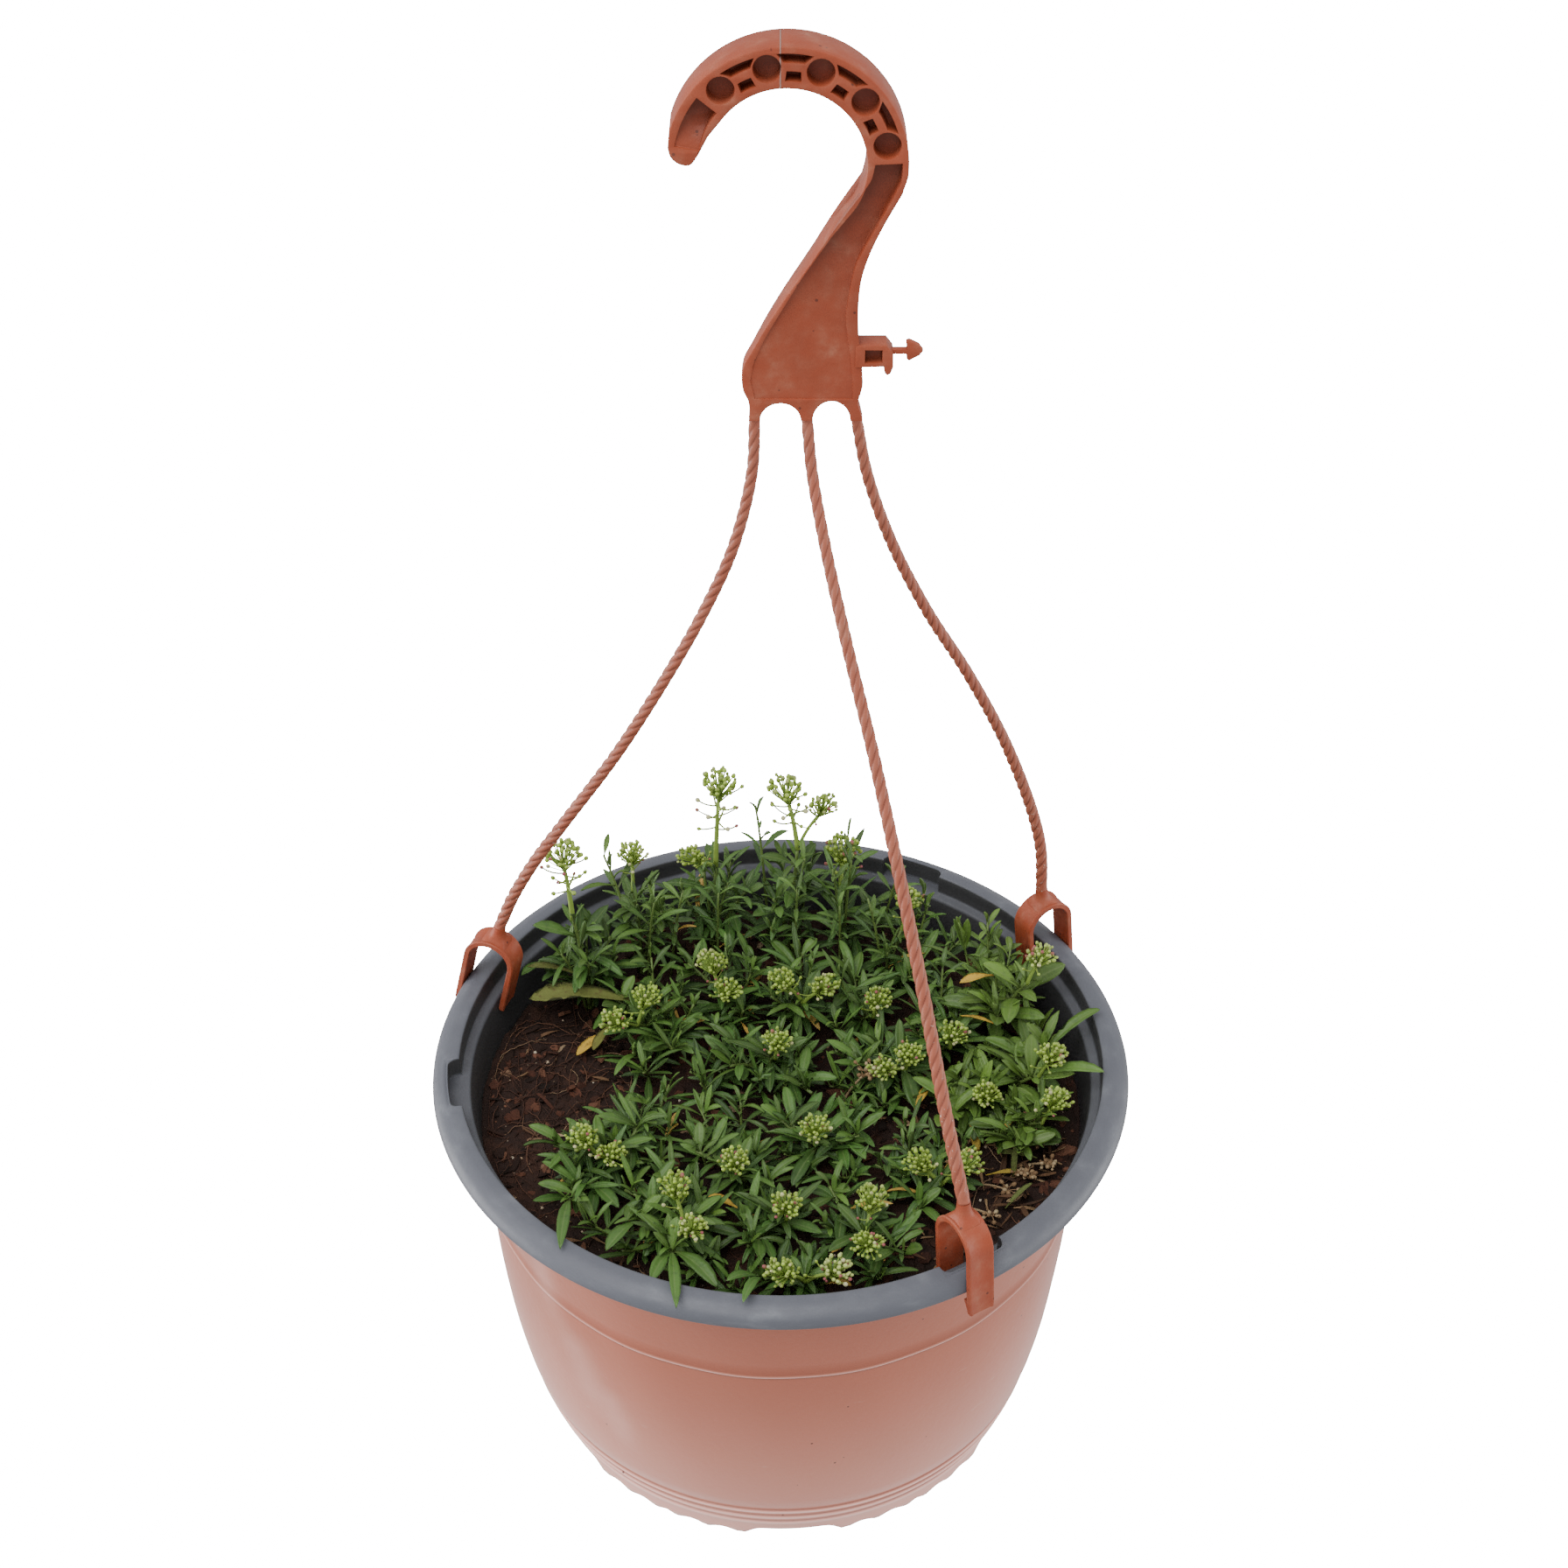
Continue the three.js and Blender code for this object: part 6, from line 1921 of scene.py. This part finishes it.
class ALYSSUM_OT_litter(bpy.types.Operator):
    """Scatter dry leaves over the bare mix, and add yellow leaves and withered sprays"""

    bl_idname = "alyssum.litter"
    bl_label = "Litter"

    def execute(self, context):
        draw = np.random.default_rng(LITTER_SEED)
        finish = dry_finish()
        shape = Shape()
        for cx, cy, rx, ry, count in DRY_PATCHES:
            for _ in range(count):
                x, y = cx + rx * draw.uniform(-1, 1), cy + ry * draw.uniform(-1, 1)
                x, y = np.array([x, y]) * min(1, LITTER_REACH / math.hypot(x, y))
                z = surface_at(x, y) + draw.uniform(0.5, 2.0)
                add_blade(shape, {
                    "root": np.array([x, y, z]), "azimuth": draw.uniform(0, 360),
                    "pitch": draw.uniform(-3, 35), "droop": draw.uniform(-50, 90),
                    "length": draw.uniform(5, 15), "width": draw.uniform(0.9, 2.6),
                    "tone": draw.uniform(0, 0.85),
                }, draw)
        for root, azimuth, pitch, length, width, tone in LONE_LEAVES:
            add_blade(shape, {"root": above_mix(root), "azimuth": azimuth, "pitch": pitch,
                              "droop": 40, "length": length, "width": width, "tone": tone}, draw)
        shape.piece("dry_leaves", finish)
        shape = Shape()
        for top, flowers in WITHERED_SPRAYS:
            self.withered(shape, above_mix(top), flowers, draw)
        shape.piece("withered_sprays", finish)
        return {"FINISHED"}

    def withered(self, shape, top, flowers, draw):
        """A bent stalk with shrivelled flowers along its end."""
        low = min(14, math.hypot(*top[:2]))
        inward = -top[:2] / math.hypot(*top[:2]) * low
        foot = np.array([top[0] + inward[0], top[1] + inward[1], MIX_TOP - 1.5])
        bend = foot * [0.5, 0.5, 0] + top * [0.5, 0.5, 1.0]
        stalk = arch(foot, bend, top, WITHERED_STEPS)
        add_stalk(shape, stalk, np.linspace(0.6, 0.4, len(stalk)), 6, 0.0, 0.75)
        for i in range(flowers):
            root = stalk[WITHERED_STEPS - i // 6]
            turn = i * GOLDEN_TURN
            way = np.array([math.cos(turn), math.sin(turn), draw.uniform(-0.2, 0.8)])
            tip = root + way * draw.uniform(1.6, 5.5) * (1 if top[2] > MIX_TOP + 9 else 0.75)
            reach = math.hypot(tip[0], tip[1])
            tip[:2] *= min(1, 112 / reach)
            tone = draw.uniform(0.45, 0.87)
            add_stalk(shape, arch(root, (root + tip) / 2 + [0, 0, 0.6], tip, 3),
                      np.full(4, 0.2), 4, 0.0, 0.6)
            add_bud(shape, tip, way, draw.uniform(0.5, 1.0), tone, 0.0, 0.0)


DRY_TONES = [  # brown to straw, then green and yellow
    (0.0, (0.035, 0.017, 0.01)), (0.35, (0.11, 0.055, 0.027)), (0.65, (0.27, 0.17, 0.085)),
    (0.85, (0.4, 0.31, 0.18)), (0.92, (0.09, 0.12, 0.03)), (1.0, (0.5, 0.32, 0.045)),
]
DRY_SHADE = (0.07, 0.035, 0.018)


def dry_finish():
    finish = Finish("dry leaf", Specular_IOR_Level=0.3)
    tone = finish.ramp(finish.read("tone"), DRY_TONES)
    patch = finish.grain(500, 4)
    finish.colour(finish.blend(tone, DRY_SHADE, patch.between(0.5, 0.75) * 0.6))
    finish.rough(0.7 + 0.2 * patch)
    finish.relief(patch, 0.0003)
    return finish


# -------------------- stage


FLOOR_REACH = 14.0
LAMPS = (  # name, place, size, share of the key power
    ("overhead", (-0.6, -0.9, 2.2), 1.6, 0.92), ("left", (-1.5, 0.1, 0.1), 1.0, 0.5),
    ("right", (1.6, 0.1, 0.1), 1.0, 0.36),
)
LAMP_AIM = (0, 0, 0.2)
CAMERA_PLACE = (0.0, -0.6883, 0.8185)
CAMERA_TILT = 52.97  # degrees up from straight down
CAMERA_SHIFT = 0.0021


class ALYSSUM_OT_stage(bpy.types.Operator):
    """Lay the pale floor, light it and set the camera"""

    bl_idname = "alyssum.stage"
    bl_label = "Stage"

    def execute(self, context):
        settings = context.scene.alyssum_stage
        mesh = bpy.data.meshes.new("floor")
        reach = FLOOR_REACH
        corners = [(-reach, -reach, 0), (reach, -reach, 0), (reach, reach, 0), (-reach, reach, 0)]
        mesh.from_pydata(corners, [], [(0, 1, 2, 3)])
        floor = bpy.data.objects.new("floor", mesh)
        floor.location.z = -settings.floor_drop
        context.scene.collection.objects.link(floor)
        white = Finish("pale floor", Roughness=0.8, Base_Color=(*settings.floor, 1.0),
                       Emission_Color=(1, 1, 1, 1), Emission_Strength=settings.glow)
        mesh.materials.append(white.material)
        floor.visible_diffuse = False
        floor.visible_glossy = False
        self.light(context, settings)
        self.camera(context, settings)
        return {"FINISHED"}

    def light(self, context, settings):
        world = bpy.data.worlds.new("white room")
        world.use_nodes = True
        background = world.node_tree.nodes["Background"]
        background.inputs["Color"].default_value = (1, 1, 1, 1)
        background.inputs["Strength"].default_value = settings.room
        context.scene.world = world
        for name, place, size, share in LAMPS:
            lamp = bpy.data.lights.new(name, "AREA")
            lamp.shape = "SQUARE"
            lamp.size = size
            lamp.energy = settings.key * share
            held = bpy.data.objects.new(name, lamp)
            held.location = place
            aim = Vector(LAMP_AIM) - held.location
            held.rotation_euler = aim.to_track_quat("-Z", "Y").to_euler()
            context.scene.collection.objects.link(held)

    def camera(self, context, settings):
        view = bpy.data.cameras.new("camera")
        view.lens = settings.lens
        view.sensor_width = 36.0
        view.shift_x = CAMERA_SHIFT
        view.clip_start = 0.05
        held = bpy.data.objects.new("camera", view)
        held.location = CAMERA_PLACE
        held.rotation_euler = (math.radians(CAMERA_TILT), 0.0, 0.0)
        context.scene.collection.objects.link(held)
        context.scene.camera = held


# -------------------- panel and registration

STEPS = (ALYSSUM_OT_pot, ALYSSUM_OT_mix, ALYSSUM_OT_hook, ALYSSUM_OT_strands, ALYSSUM_OT_clips,
         ALYSSUM_OT_branches, ALYSSUM_OT_sprays, ALYSSUM_OT_litter, ALYSSUM_OT_stage)
SETTINGS = {"alyssum_pot": PotSettings, "alyssum_hanger": HangerSettings,
            "alyssum_plants": PlantSettings, "alyssum_mix": MixSettings,
            "alyssum_stage": StageSettings}


class ALYSSUM_PT_panel(bpy.types.Panel):
    """Lists the pieces and what can be changed"""

    bl_label = "Sweet alyssum"
    bl_space_type = "VIEW_3D"
    bl_region_type = "UI"
    bl_category = "Alyssum"

    def draw(self, context):
        for step in STEPS:
            self.layout.operator(step.bl_idname)
        for name, group in SETTINGS.items():
            box = self.layout.box()
            box.label(text=group.__name__)
            for field in group.__annotations__:
                box.prop(getattr(context.scene, name), field)


def register():
    for made in (*SETTINGS.values(), *STEPS, ALYSSUM_PT_panel):
        bpy.utils.register_class(made)
    for name, group in SETTINGS.items():
        setattr(bpy.types.Scene, name, PointerProperty(type=group))


def unregister():
    for name in SETTINGS:
        delattr(bpy.types.Scene, name)
    for made in reversed((*SETTINGS.values(), *STEPS, ALYSSUM_PT_panel)):
        bpy.utils.unregister_class(made)


def main():
    register()
    bpy.ops.alyssum.pot()
    bpy.ops.alyssum.mix()
    bpy.ops.alyssum.hook()
    bpy.ops.alyssum.strands()
    bpy.ops.alyssum.clips()
    bpy.ops.alyssum.branches()
    bpy.ops.alyssum.sprays()
    bpy.ops.alyssum.litter()
    bpy.ops.alyssum.stage()
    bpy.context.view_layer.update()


if __name__ == "__main__":
    main()
